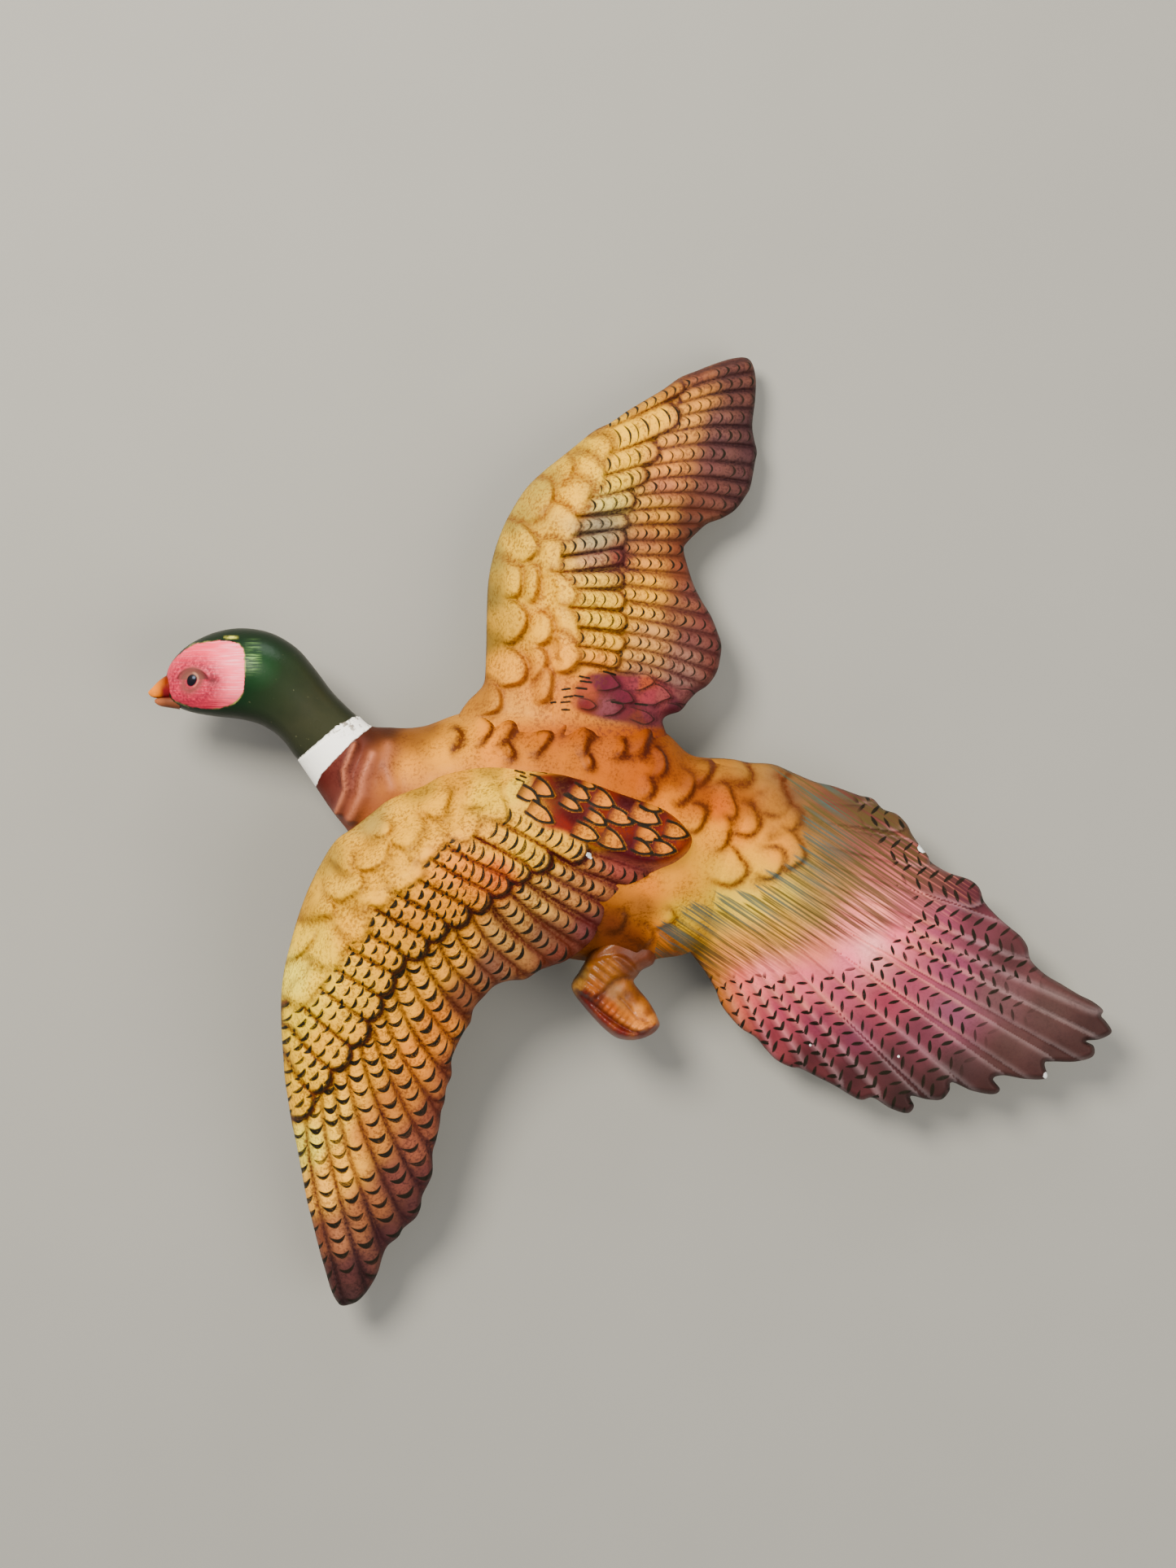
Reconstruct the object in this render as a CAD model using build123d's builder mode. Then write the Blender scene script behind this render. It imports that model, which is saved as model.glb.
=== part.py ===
from build123d import *
"""Flying pheasant wall figure: hollow slip-cast ceramic, eight castings luted together.

Row frame, millimetres: +Z up, +Y into the wall, +X to the viewer's right.
The wall is the plane Y = 0 and the bird stands out of it towards -Y, head to -X, tail to +X.
The origin is the mouth of the hanging hole in the flat back of the body.
"""

import os
from math import cos, radians, sin, sqrt, tan

# ---- Driving dimensions -------------------------------------------------------------------
WALL = 4.0  # thickness of the slip-cast wall of the body
HEAD_WALL = 2.6  # the head and neck are cast thinner
PARTING_Y = -20.0  # plane where the body's front and back castings meet
HOLE_R = 4.5  # hanging hole, for a nail or screw head
VENT_R = 2.0  # vent that lets air out of the hollow body in the kiln
VENT_AT = (-26.0, -32.0)
HANG_X = -11.0  # the hole stands over the figure's centre of mass, so it hangs level
TRAILING_EDGE = 3.4  # thickness of a wing's thin edge
CUT_DEPTH = 140.0  # how far outline cutters reach through the figure
TAIL_THICKNESS = 4.4

# Stations of the hollow bodies: upper outline point, lower outline point (X, Z),
# centre depth Y and half depth of the elliptical section between them.
BODY = [
    ((-68.5, 12.5), (-82.5, -4.0), -22.5, 10.2),
    ((-64.0, 10.4), (-77.8, -11.8), -22.0, 11.6),
    ((-58.0, 10.0), (-73.0, -18.5), -21.5, 13.6),
    ((-49.0, 10.8), (-65.5, -27.5), -21.0, 16.8),
    ((-34.0, 14.0), (-50.0, -41.0), -20.5, 21.5),
    ((-10.0, 17.0), (-22.0, -54.0), -19.0, 27.0),
    ((10.0, 14.0), (0.0, -58.0), -19.0, 28.0),
    ((27.0, 3.0), (17.0, -58.0), -20.0, 24.0),
    ((42.0, -2.0), (27.0, -55.0), -20.0, 17.0),
    ((54.0, -8.0), (41.0, -42.0), -21.0, 10.5),
    ((59.5, -17.0), (54.5, -31.0), -22.0, 5.0),
]
BODY_HOLLOW_END = 10  # the last station stays solid
HEAD = [
    ((-129.5, 20.9), (-129.3, 19.4), -24.0, 0.8),
    ((-127.0, 22.6), (-127.0, 17.0), -24.0, 2.0),
    ((-124.8, 24.4), (-124.0, 15.9), -24.0, 3.4),
    ((-122.6, 28.8), (-121.5, 15.2), -24.0, 6.0),
    ((-117.5, 34.0), (-116.5, 13.8), -24.0, 9.0),
    ((-109.5, 37.6), (-109.5, 12.8), -24.0, 10.8),
    ((-101.0, 38.4), (-103.0, 12.0), -24.0, 11.4),
    ((-92.5, 36.7), (-97.0, 10.4), -24.0, 11.4),
    ((-85.0, 31.8), (-92.5, 7.4), -23.5, 10.9),
    ((-79.3, 25.0), (-89.0, 3.5), -23.0, 10.3),
    ((-74.0, 18.0), (-86.0, -0.2), -22.7, 10.0),
    BODY[0],
]
HEAD_HOLLOW_START = 4  # the beak is solid

# Wing stations: leading edge (X, Z, Y), trailing edge (X, Z, Y), greatest thickness, camber.
NEAR_WING = [
    ((17.0, -6.0, -38.0), (32.0, -25.0, -36.0), 10.0, 1.0),
    ((-8.0, -1.0, -41.0), (16.0, -44.0, -38.0), 15.0, 4.0),
    ((-30.0, -0.5, -41.0), (-2.0, -62.0, -36.0), 17.0, 6.0),
    ((-52.0, -8.5, -40.0), (-24.0, -71.0, -34.0), 17.0, 7.0),
    ((-70.0, -20.0, -40.0), (-35.0, -79.0, -31.0), 15.0, 7.0),
    ((-83.0, -35.0, -40.0), (-38.0, -91.0, -28.0), 13.0, 6.0),
    ((-90.0, -57.0, -37.0), (-41.0, -104.0, -25.0), 11.5, 5.5),
    ((-91.0, -80.0, -34.0), (-42.0, -117.0, -23.0), 9.5, 5.0),
    ((-88.8, -105.0, -29.0), (-44.0, -132.0, -20.0), 8.0, 4.0),
    ((-84.8, -128.0, -24.0), (-50.0, -144.0, -17.0), 6.5, 2.5),
    ((-78.7, -149.0, -19.0), (-62.0, -156.0, -15.0), 5.0, 1.0),
    ((-76.0, -157.0, -17.0), (-68.0, -162.0, -14.0), 4.0, 0.5),
]
FAR_WING = [
    ((-44.0, 2.0, -22.0), (18.0, 4.0, -22.0), 16.0, 2.0),
    ((-37.0, 15.0, -23.0), (32.0, 13.0, -20.0), 15.0, 4.0),
    ((-32.5, 26.0, -23.0), (39.0, 25.0, -17.0), 13.0, 5.0),
    ((-31.0, 42.0, -22.0), (39.0, 39.0, -15.0), 12.0, 5.5),
    ((-29.8, 56.0, -21.0), (33.0, 55.0, -13.5), 11.0, 5.5),
    ((-25.5, 69.0, -19.5), (36.0, 64.0, -12.5), 10.0, 5.0),
    ((-18.0, 81.0, -18.0), (50.0, 72.0, -11.0), 9.0, 4.5),
    ((-6.0, 91.5, -16.0), (51.0, 84.0, -10.0), 8.0, 3.5),
    ((10.0, 101.8, -14.0), (51.0, 95.0, -9.0), 6.5, 2.5),
    ((26.0, 111.5, -12.0), (51.0, 107.0, -8.5), 5.0, 1.5),
    ((40.0, 117.0, -10.5), (50.0, 117.0, -8.0), 4.0, 0.5),
]

# Flight feathers: root (X, Z), tip (X, Z), half width. Their tips scallop the trailing edges.
NEAR_FLIGHT = [
    ((-9, -28), (16, -36), 3.4), ((-16, -32), (10.5, -41.5), 3.2), ((-21, -35), (5, -47), 3.2),
    ((-26, -38), (0, -52.5), 3.3), ((-31, -42), (-7, -58), 3.3), ((-36, -45), (-14, -61.5), 3.3),
    ((-41, -49), (-22, -63.5), 3.4), ((-47, -53), (-30, -66.5), 3.6), ((-53, -58), (-34.5, -72), 3.7),
    ((-57, -62), (-37, -78.5), 3.9), ((-60, -68), (-40, -87), 4.0), ((-62, -74), (-42.5, -97.5), 4.0),
    ((-65, -80), (-44.8, -110), 4.0), ((-69, -85), (-47.5, -121.5), 4.0),
    ((-72.5, -90), (-51, -131.5), 3.9),
    ((-76, -94), (-57, -139), 3.7), ((-80, -98), (-62.5, -147), 3.6), ((-84, -102), (-69, -155.5), 3.6),
    ((-87, -106), (-74.5, -158.3), 3.0),
]
FAR_FLIGHT = [
    ((20, 108), (45.5, 114.5), 2.6), ((24, 105), (47, 109.5), 2.7), ((23.5, 101), (46.8, 104), 2.7),
    ((21, 96.5), (47.3, 98.5), 2.8), ((18.5, 92), (47.7, 93), 2.8), ((17, 88), (47.3, 88), 2.8),
    ((15.5, 84), (46.6, 82.7), 2.8), ((12.5, 80), (45.2, 77.8), 2.8), ((12, 76), (41.5, 73.3), 2.7),
    ((11.5, 72), (36, 70), 2.6), ((11, 68), (31, 66.7), 2.6), ((10.5, 64), (27, 62.4), 2.6),
    ((10, 60), (27.2, 58), 2.6), ((9.5, 56), (28.7, 53.5), 2.6), ((9.5, 52), (30.7, 49), 2.6),
    ((9.5, 48), (33.2, 44.5), 2.6), ((9, 44), (35.2, 40), 2.7), ((9, 40), (36.6, 35), 2.8),
    ((9, 36), (36.8, 30), 2.8), ((9, 32), (35.8, 25), 2.8), ((9, 29), (32.5, 20.7), 2.7),
]
# Outline of each wing inside its trailing feathers, drawn 4 mm or more outside the leading edge.
NEAR_INNER = [
    (32, -16), (20, -8), (0, 4), (-30, 6), (-56, -4), (-76, -17), (-90, -34), (-97, -60), (-97, -85),
    (-93, -112), (-87, -140), (-80, -158.5), (-73.5, -158.5), (-70, -140), (-66, -100), (-60, -72),
    (-46, -56), (-22, -42), (-4, -33), (16, -29), (24, -27), (28, -21),
]
FAR_INNER = [
    (22, 4), (-48, 0), (-42, 14), (-38, 26), (-36, 55), (-30, 74), (-12, 94), (24, 117), (42, 122),
    (46, 114), (40, 105), (24, 96), (20, 66), (18, 44), (20, 30), (30, 22), (29, 16),
]

# The tail fans out from one point: each feather's angle below +X in degrees, and its length.
FAN = (12.0, -8.0)
TAIL_FEATHERS = [
    (4, 72), (8.5, 81), (12.8, 88.5), (17.5, 106.5), (22.4, 125.5), (25.2, 151), (27.4, 155.8),
    (30.4, 153.5), (35.2, 146.5), (39.8, 137.8), (44.7, 128.5), (49.7, 124.2), (54.8, 112),
    (60.8, 92.8), (66, 78),
]
FEATHER_SPREAD = 2.9  # half the angle that one tail feather takes, in degrees
FEATHER_BASE = 30.0  # distance from the fan's point where the feathers' straight edges start
TAIL_AXIS = 34.0  # the fan's middle, in degrees below +X
TAIL_ROOT = [(28, 0), (40, 0.5), (56, -2.5), (70, -10), (60, -50), (45, -72), (33, -60), (27, -50)]
# Across the fan, at each distance from its point: depth of the crown, depth of the edges, half width.
TAIL_BANDS = [
    (10.0, -23.0, -20.0, 44.0),
    (50.0, -26.0, -18.0, 56.0),
    (90.0, -27.0, -17.0, 72.0),
    (130.0, -24.0, -16.0, 82.0),
    (165.0, -21.0, -15.0, 88.0),
]

# Tucked legs: centre (X, Z), direction of travel in degrees, radius. The shank runs down and
# forward to a round knuckle, and the clenched toes run back from it.
SHANK = [((15.5, -53.0), -143.0, 3.6), ((7.0, -59.6), -143.0, 3.1), ((-1.6, -66.2), -143.0, 3.4)]
KNUCKLE_AT = (-1.9, -67.2)
KNUCKLE_R = 4.2
TOES = [
    ((-1.6, -67.6), -52.0, 3.6),
    ((2.2, -72.4), -47.0, 3.7),
    ((6.4, -75.8), -30.0, 3.5),
    ((11.6, -77.7), -10.0, 3.0),
    ((17.3, -77.6), 12.0, 1.6),
]
NEAR_LEG_Y = -25.0
FAR_LEG_Y = -19.5
FAR_LEG_SHIFT = (-0.8, -1.4)  # the far foot shows just below the near one
PALM = [(3, -66), (11, -62), (14.5, -67), (18, -75.5), (13, -77), (5, -72)]
PALM_THICKNESS = 3.0


# ---- Helpers ------------------------------------------------------------------------------
def section_plane(upper, lower, depth):
    """A plane whose X runs from the lower outline point to the upper one, and whose Y is depth."""
    along = Vector(upper[0] - lower[0], 0, upper[1] - lower[1])
    middle = Vector((upper[0] + lower[0]) / 2, depth, (upper[1] + lower[1]) / 2)
    return Plane(origin=middle, x_dir=along, z_dir=along.cross(Vector(0, 1, 0)))


def oval_sections(stations, inset):
    """Elliptical sections of a hollow casting, each smaller all round by inset."""
    ovals = []
    for upper, lower, depth, half_depth in stations:
        half_width = sqrt((upper[0] - lower[0]) ** 2 + (upper[1] - lower[1]) ** 2) / 2
        with BuildSketch(section_plane(upper, lower, depth)) as oval:
            Ellipse(half_width - inset, max(half_depth - inset, 1.0))
        ovals.append(oval.sketch)
    return ovals


def half_thickness(share):
    """Aerofoil half thickness at a share of the chord, for a section 1 thick at most."""
    powers = [sqrt(share), share, share**2, share**3, share**4]
    return 5 * sum(k * p for k, p in zip([0.2969, -0.126, -0.3516, 0.2843, -0.1036], powers))


def wing_section(leading, trailing, thickness, camber):
    """One closed wing section between a leading and a trailing edge point."""
    start = Vector(leading[0], leading[2], leading[1])
    along = Vector(trailing[0], trailing[2], trailing[1]) - start
    flat = Vector(along.X, 0, along.Z)
    chord = flat.length
    drop = along.Y
    plane = Plane(origin=start, x_dir=flat, z_dir=flat.cross(Vector(0, -1, 0)))
    front = []
    back = []
    for share in [0.0, 0.03, 0.12, 0.3, 0.55, 0.8, 1.0]:
        middle = -drop * share + camber * 4 * share * (1 - share)
        half = thickness * half_thickness(share) + TRAILING_EDGE / 2 * share
        front.append((chord * share, middle + half))
        back.append((chord * share, middle - half))
    with BuildSketch(plane) as section:
        with BuildLine():
            Spline(*front)
            Spline(*back)
            Line(front[-1], back[-1])
        make_face()
    return section.sketch


def feather_outline(root, tip, half_width):
    """A straight-sided feather with a round tip, drawn in the face plane."""
    run = Vector(tip[0] - root[0], tip[1] - root[1])
    step = run.normalized()
    side = step.rotate(Axis.Z, 90) * half_width
    start = Vector(*root)
    shoulder = Vector(*tip) - step * half_width
    with BuildSketch() as feather:
        with BuildLine():
            Polyline(shoulder + side, start + side, start - side, shoulder - side)
            ThreePointArc(shoulder - side, Vector(*tip), shoulder + side)
        make_face()
    return feather.sketch


def polar(angle, reach):
    """A point of the tail's fan, from an angle below +X and a distance."""
    return (FAN[0] + reach * cos(radians(angle)), FAN[1] - reach * sin(radians(angle)))


def tail_feather(angle, reach):
    """One tail feather's outline: straight edges along the fan and a round tip."""
    shoulder = reach - 1.6 * reach * tan(radians(FEATHER_SPREAD))
    with BuildSketch() as feather:
        with BuildLine():
            Polyline(
                polar(angle - FEATHER_SPREAD, shoulder),
                polar(angle - FEATHER_SPREAD, FEATHER_BASE),
                polar(angle + FEATHER_SPREAD, FEATHER_BASE),
                polar(angle + FEATHER_SPREAD, shoulder),
            )
            ThreePointArc(
                polar(angle + FEATHER_SPREAD, shoulder),
                polar(angle, reach),
                polar(angle - FEATHER_SPREAD, shoulder),
            )
        make_face()
    return feather.sketch


def tail_band(distance, crown, edge, half_width):
    """A curved strip across the fan: its face bows towards the viewer along the fan's middle."""
    foot = polar(TAIL_AXIS, distance)
    across = Vector(sin(radians(TAIL_AXIS)), 0, cos(radians(TAIL_AXIS)))
    along = Vector(cos(radians(TAIL_AXIS)), 0, -sin(radians(TAIL_AXIS)))
    half = TAIL_THICKNESS / 2
    plane = Plane(origin=(foot[0], 0, foot[1]), x_dir=across, z_dir=along)
    facing = -1 if plane.y_dir.Y > 0 else 1
    with BuildSketch(plane) as band:
        with BuildLine():
            ThreePointArc(
                (-half_width, facing * (half - edge)),
                (0, facing * (half - crown)),
                (half_width, facing * (half - edge)),
            )
            Line((half_width, facing * (half - edge)), (half_width, facing * (-half - edge)))
            ThreePointArc(
                (half_width, facing * (-half - edge)),
                (0, facing * (-half - crown)),
                (-half_width, facing * (-half - edge)),
            )
            Line((-half_width, facing * (-half - edge)), (-half_width, facing * (half - edge)))
        make_face()
    return band.sketch


def limb_sections(stations, depth, shift):
    """Round sections square to a limb's path."""
    rounds = []
    for centre, heading, radius in stations:
        along = Vector(cos(radians(heading)), 0, sin(radians(heading)))
        origin = (centre[0] + shift[0], depth, centre[1] + shift[1])
        with BuildSketch(Plane(origin=origin, z_dir=along)) as ring:
            Circle(radius)
        rounds.append(ring.sketch)
    return rounds


# The face plane looks from the viewer at the wall: sketch X is +X and sketch Y is +Z.
FACE = Plane(origin=(0, 0, 0), x_dir=(1, 0, 0), z_dir=(0, -1, 0))

# ---- Body: one outer form, one cavity, parted into a front and a back casting ---------------
with BuildPart() as body_form:
    loft(sections=oval_sections(BODY, 0))
    split(bisect_by=Plane.XZ, keep=Keep.TOP)

with BuildPart() as body_cavity:
    loft(sections=oval_sections(BODY[:BODY_HOLLOW_END], WALL))
    split(bisect_by=Plane.XZ.offset(WALL), keep=Keep.TOP)

parting = Plane.XZ.offset(-PARTING_Y)

with BuildPart() as torso_front_shell:
    add(body_form.part)
    add(body_cavity.part, mode=Mode.SUBTRACT)
    split(bisect_by=parting, keep=Keep.TOP)

with BuildPart() as torso_back_shell:
    add(body_form.part)
    add(body_cavity.part, mode=Mode.SUBTRACT)
    split(bisect_by=parting, keep=Keep.BOTTOM)
    with Locations(Plane(origin=(HANG_X, 0, 0), z_dir=(0, 1, 0))):
        Hole(HOLE_R, depth=WALL * 2)
    with Locations(Plane(origin=(VENT_AT[0], 0, VENT_AT[1]), z_dir=(0, 1, 0))):
        Hole(VENT_R, depth=WALL * 2)

# ---- Head and neck: hollow, open into the body at the collar ---------------------------------
with BuildPart() as head_and_neck:
    loft(sections=oval_sections(HEAD, 0))
    loft(sections=oval_sections(HEAD[HEAD_HOLLOW_START:], HEAD_WALL), mode=Mode.SUBTRACT)
    add(body_form.part, mode=Mode.SUBTRACT)

# ---- Wings: solid castings, thin at the trailing edge, scalloped by their flight feathers ------
with BuildPart() as near_wing:
    with BuildSketch(FACE):
        with BuildLine():
            Polyline(*NEAR_INNER, close=True)
        make_face()
        for feather in NEAR_FLIGHT:
            add(feather_outline(*feather))
    extrude(amount=CUT_DEPTH)
    loft(sections=[wing_section(*station) for station in NEAR_WING], mode=Mode.INTERSECT)
    add(body_form.part, mode=Mode.SUBTRACT)

with BuildPart() as far_wing:
    with BuildSketch(FACE):
        with BuildLine():
            Polyline(*FAR_INNER, close=True)
        make_face()
        for feather in FAR_FLIGHT:
            add(feather_outline(*feather))
    extrude(amount=CUT_DEPTH)
    loft(sections=[wing_section(*station) for station in FAR_WING], mode=Mode.INTERSECT)
    add(body_form.part, mode=Mode.SUBTRACT)

# ---- Tail: a shallow dished slab, cut to the fan of feathers -----------------------------------
with BuildPart() as tail_fan:
    with BuildSketch(FACE):
        with BuildLine():
            Polyline(*TAIL_ROOT, close=True)
        make_face()
        for angle, reach in TAIL_FEATHERS:
            add(tail_feather(angle, reach))
    extrude(amount=CUT_DEPTH)
    loft(sections=[tail_band(*band) for band in TAIL_BANDS], mode=Mode.INTERSECT)
    add(body_form.part, mode=Mode.SUBTRACT)
    add(near_wing.part, mode=Mode.SUBTRACT)

# ---- Legs: a tucked pair, the near foot closed over the far one ---------------------------------
with BuildPart() as near_leg:
    loft(sections=limb_sections(SHANK, NEAR_LEG_Y, (0.0, 0.0)))
    loft(sections=limb_sections(TOES, NEAR_LEG_Y, (0.0, 0.0)))
    with Locations((KNUCKLE_AT[0], NEAR_LEG_Y, KNUCKLE_AT[1])):
        Sphere(KNUCKLE_R)
    with BuildSketch(FACE.offset(-NEAR_LEG_Y - PALM_THICKNESS / 2)):
        with BuildLine():
            Polyline(*PALM, close=True)
        make_face()
    extrude(amount=PALM_THICKNESS)
    add(body_form.part, mode=Mode.SUBTRACT)

with BuildPart() as far_leg:
    loft(sections=limb_sections(SHANK, FAR_LEG_Y, FAR_LEG_SHIFT))
    loft(sections=limb_sections(TOES, FAR_LEG_Y, FAR_LEG_SHIFT))
    with Locations((KNUCKLE_AT[0] + FAR_LEG_SHIFT[0], FAR_LEG_Y, KNUCKLE_AT[1] + FAR_LEG_SHIFT[1])):
        Sphere(KNUCKLE_R)
    add(near_leg.part, mode=Mode.SUBTRACT)
    add(body_form.part, mode=Mode.SUBTRACT)

# ---- The figure was drawn about the middle of its body: move the hanging hole to the origin ------
to_row = Location((-HANG_X, 0, 0))
torso_front_shell.part.move(to_row)
torso_back_shell.part.move(to_row)
head_and_neck.part.move(to_row)
near_wing.part.move(to_row)
far_wing.part.move(to_row)
tail_fan.part.move(to_row)
near_leg.part.move(to_row)
far_leg.part.move(to_row)

torso_front_shell.part.label = "torso_front_shell"
torso_back_shell.part.label = "torso_back_shell"
head_and_neck.part.label = "head_and_neck"
near_wing.part.label = "near_wing"
far_wing.part.label = "far_wing"
tail_fan.part.label = "tail_fan"
near_leg.part.label = "near_leg"
far_leg.part.label = "far_leg"

os.makedirs("parts", exist_ok=True)
export_step(torso_front_shell.part, "parts/torso_front_shell.step")
export_step(torso_back_shell.part, "parts/torso_back_shell.step")
export_step(head_and_neck.part, "parts/head_and_neck.step")
export_step(near_wing.part, "parts/near_wing.step")
export_step(far_wing.part, "parts/far_wing.step")
export_step(tail_fan.part, "parts/tail_fan.step")
export_step(near_leg.part, "parts/near_leg.step")
export_step(far_leg.part, "parts/far_leg.step")
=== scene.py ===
import math

import bmesh
import bpy
import numpy as np
from mathutils import Matrix, Vector, geometry


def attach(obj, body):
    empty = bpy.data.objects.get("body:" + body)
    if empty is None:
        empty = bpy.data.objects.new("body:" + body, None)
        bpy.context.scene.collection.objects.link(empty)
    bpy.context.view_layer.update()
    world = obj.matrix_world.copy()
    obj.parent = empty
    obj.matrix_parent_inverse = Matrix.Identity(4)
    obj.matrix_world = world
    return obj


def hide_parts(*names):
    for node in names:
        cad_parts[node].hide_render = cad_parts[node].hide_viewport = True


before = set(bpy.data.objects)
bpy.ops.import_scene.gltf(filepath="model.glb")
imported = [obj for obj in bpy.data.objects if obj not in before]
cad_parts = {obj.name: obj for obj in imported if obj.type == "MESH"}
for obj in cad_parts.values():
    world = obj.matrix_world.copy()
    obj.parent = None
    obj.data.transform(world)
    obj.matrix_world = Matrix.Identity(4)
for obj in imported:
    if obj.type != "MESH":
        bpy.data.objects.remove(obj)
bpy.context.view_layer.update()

# Figure coordinates are millimetres: x to the viewer's right, z up, y towards the wall (negative
# is towards the viewer). Outlines are drawn on the plane y = MID_Y as the camera sees them, and
# settle() moves each point along its line of sight to its real depth.
EYE = (-1.8, -725.0, -6.75)
MID_Y = -25.0
FAR_OFF = 9.0  # stands for "not near" in distances that the paint reads
MOST_ALBEDO = 0.95
YELLOW_LIMIT = 0.68  # brighter than this, the view transform washes yellow out to cream
ROW_SHIFT = 11.0  # the row's origin is the hanging hole, 11 mm left of the figure's middle
LENS_MM = 55.25
SENSOR_MM = 36.0
STUDIO_LEVEL = 2.5  # light reflected by a white surface that faces the camera
BARE_BACK = (214, 200, 176)
HOLES = [(-11.0, 0.0, 4.5), (-26.0, -32.0, 2.0)]  # x, z and radius: hanging hole, vent
HOLE_DEPTH = 12.0
FRONT_SHARE = 0.62  # of a lofted body's points lie on the half that faces the viewer
WALL_HALF, WALL_GAP = 4.0, 0.0006  # metres
rng = np.random.default_rng(7)


# ------------------------------------------------------------------ numbers and curves
def settle(x, z, y):
    """Row coordinates in metres of drawn points (x, z) at real depth y."""
    k = (y - EYE[1]) / (MID_Y - EYE[1])
    return np.stack([
        (EYE[0] + (x - EYE[0]) * k + ROW_SHIFT) / 1000,
        y / 1000,
        (EYE[2] + (z - EYE[2]) * k) / 1000,
    ], axis=-1)


def smooth(t):
    t = np.clip(t, 0.0, 1.0)
    return t * t * (3 - 2 * t)


def mix(a, b, t):
    return a + (b - a) * t


def gaussian(t):
    return np.exp(-t**2)


def linear(colour):
    """Albedo that reads as a 0-255 display colour under the studio light and the view transform."""
    c = np.clip(np.asarray(colour, float) / 255, 0.004, 1)
    top = c.max(axis=-1, keepdims=True)
    level = 0.7 * top**1.75 * np.exp(1.3 * top**4) / STUDIO_LEVEL
    yellow = np.clip((c[..., 1:2] - c[..., 2:3]) * 8, 0, 1)  # yellow paints hold back more blue
    level = mix(level, np.minimum(level, YELLOW_LIMIT), yellow)
    red_green = 1.9 + (1.8 - 0.15 * yellow) * top**4
    steep = np.concatenate([red_green, red_green, red_green + 2.6 * yellow * top**4], axis=-1)
    return np.minimum(level * (c / top) ** steep, MOST_ALBEDO)


def lighten(tint, factor, limit):
    """A lighter paint of the same hue, with no channel above the limit."""
    brighter = tint * factor
    return brighter * np.minimum(1, limit / brighter.max(axis=-1, keepdims=True))


def catmull(points, step, closed=True):
    """A smooth curve through points, resampled evenly."""
    p = np.asarray(points, float)
    n = len(p)
    out = []
    spans = n if closed else n - 1
    for i in range(spans):
        a = p[(i - 1) % n] if closed or i else p[0]
        b = p[i % n]
        c = p[(i + 1) % n]
        d = p[(i + 2) % n] if closed or i < n - 2 else p[-1]
        count = max(2, int(np.linalg.norm(c - b) / step * 3))
        t = np.linspace(0, 1, count, endpoint=False)[:, None]
        out.append(0.5 * (2 * b + (c - a) * t + (2 * a - 5 * b + 4 * c - d) * t**2
                          + (3 * b - a - 3 * c + d) * t**3))
    if not closed:
        out.append(p[-1:])
    line = np.concatenate(out)
    if closed:
        line = np.concatenate([line, line[:1]])
    run = np.concatenate([[0], np.cumsum(np.linalg.norm(np.diff(line, axis=0), axis=1))])
    total = run[-1]
    count = max(4, int(round(total / step)))
    at = np.linspace(0, total, count, endpoint=not closed)
    return np.stack([np.interp(at, run, line[:, k]) for k in range(line.shape[1])], axis=1)


def inside(x, z, ring):
    """Which points lie inside a closed outline."""
    result = np.zeros(x.shape, bool)
    for (ax, az), (bx, bz) in zip(ring, np.roll(ring, -1, axis=0)):
        if az == bz:
            continue
        cross = (az > z) != (bz > z)
        result ^= cross & (x < (bx - ax) * (z - az) / (bz - az) + ax)
    return result


def line_distance(x, z, line, closed=True):
    """Distance from points to a polyline."""
    best = np.full(x.shape, 1e9)
    ends = np.roll(line, -1, axis=0) if closed else line[1:]
    for (ax, az), (bx, bz) in zip(line, ends):
        dx, dz = bx - ax, bz - az
        t = np.clip(((x - ax) * dx + (z - az) * dz) / (dx * dx + dz * dz + 1e-12), 0, 1)
        best = np.minimum(best, (x - ax - t * dx) ** 2 + (z - az - t * dz) ** 2)
    return np.sqrt(best)


def signed_distance(x, z, ring):
    """Distance to a closed outline, positive inside."""
    return np.where(inside(x, z, ring), 1, -1) * line_distance(x, z, ring)


def thin_plate(control, stiffness=0.0):
    """A smooth surface through (x, z, value) control points."""
    c = np.asarray(control, float)
    n = len(c)
    scale = 100.0

    def kernel(r2):
        return 0.5 * r2 * np.log(r2 + 1e-9)

    xy = c[:, :2] / scale
    r2 = ((xy[:, None] - xy[None]) ** 2).sum(-1)
    a = np.zeros((n + 3, n + 3))
    a[:n, :n] = kernel(r2) + stiffness * np.eye(n)
    a[:n, n] = 1
    a[:n, n + 1:] = xy
    a[n, :n] = 1
    a[n + 1:, :n] = xy.T
    rhs = np.zeros(n + 3)
    rhs[:n] = c[:, 2]
    weights = np.linalg.solve(a, rhs)

    def value(x, z):
        total = weights[n] + weights[n + 1] * x / scale + weights[n + 2] * z / scale
        for k in range(n):
            r = (x / scale - xy[k, 0]) ** 2 + (z / scale - xy[k, 1]) ** 2
            total = total + weights[k] * kernel(r)
        return total

    return value


def colour_field(samples, power=4.0, soft=3.0):
    """Blend of (x, z, (r, g, b)) paint samples in display values, returned scene-linear."""
    at = np.array([[s[0], s[1]] for s in samples], float)
    paint = np.array([linear(s[2]) for s in samples])

    def value(x, z):
        total = np.zeros(x.shape + (3,))
        weight = np.zeros(x.shape)
        for (px, pz), c in zip(at, paint):
            w = ((x - px) ** 2 + (z - pz) ** 2 + soft**2) ** (-power / 2)
            total += w[..., None] * c
            weight += w
        return total / weight[..., None]

    return value


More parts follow.
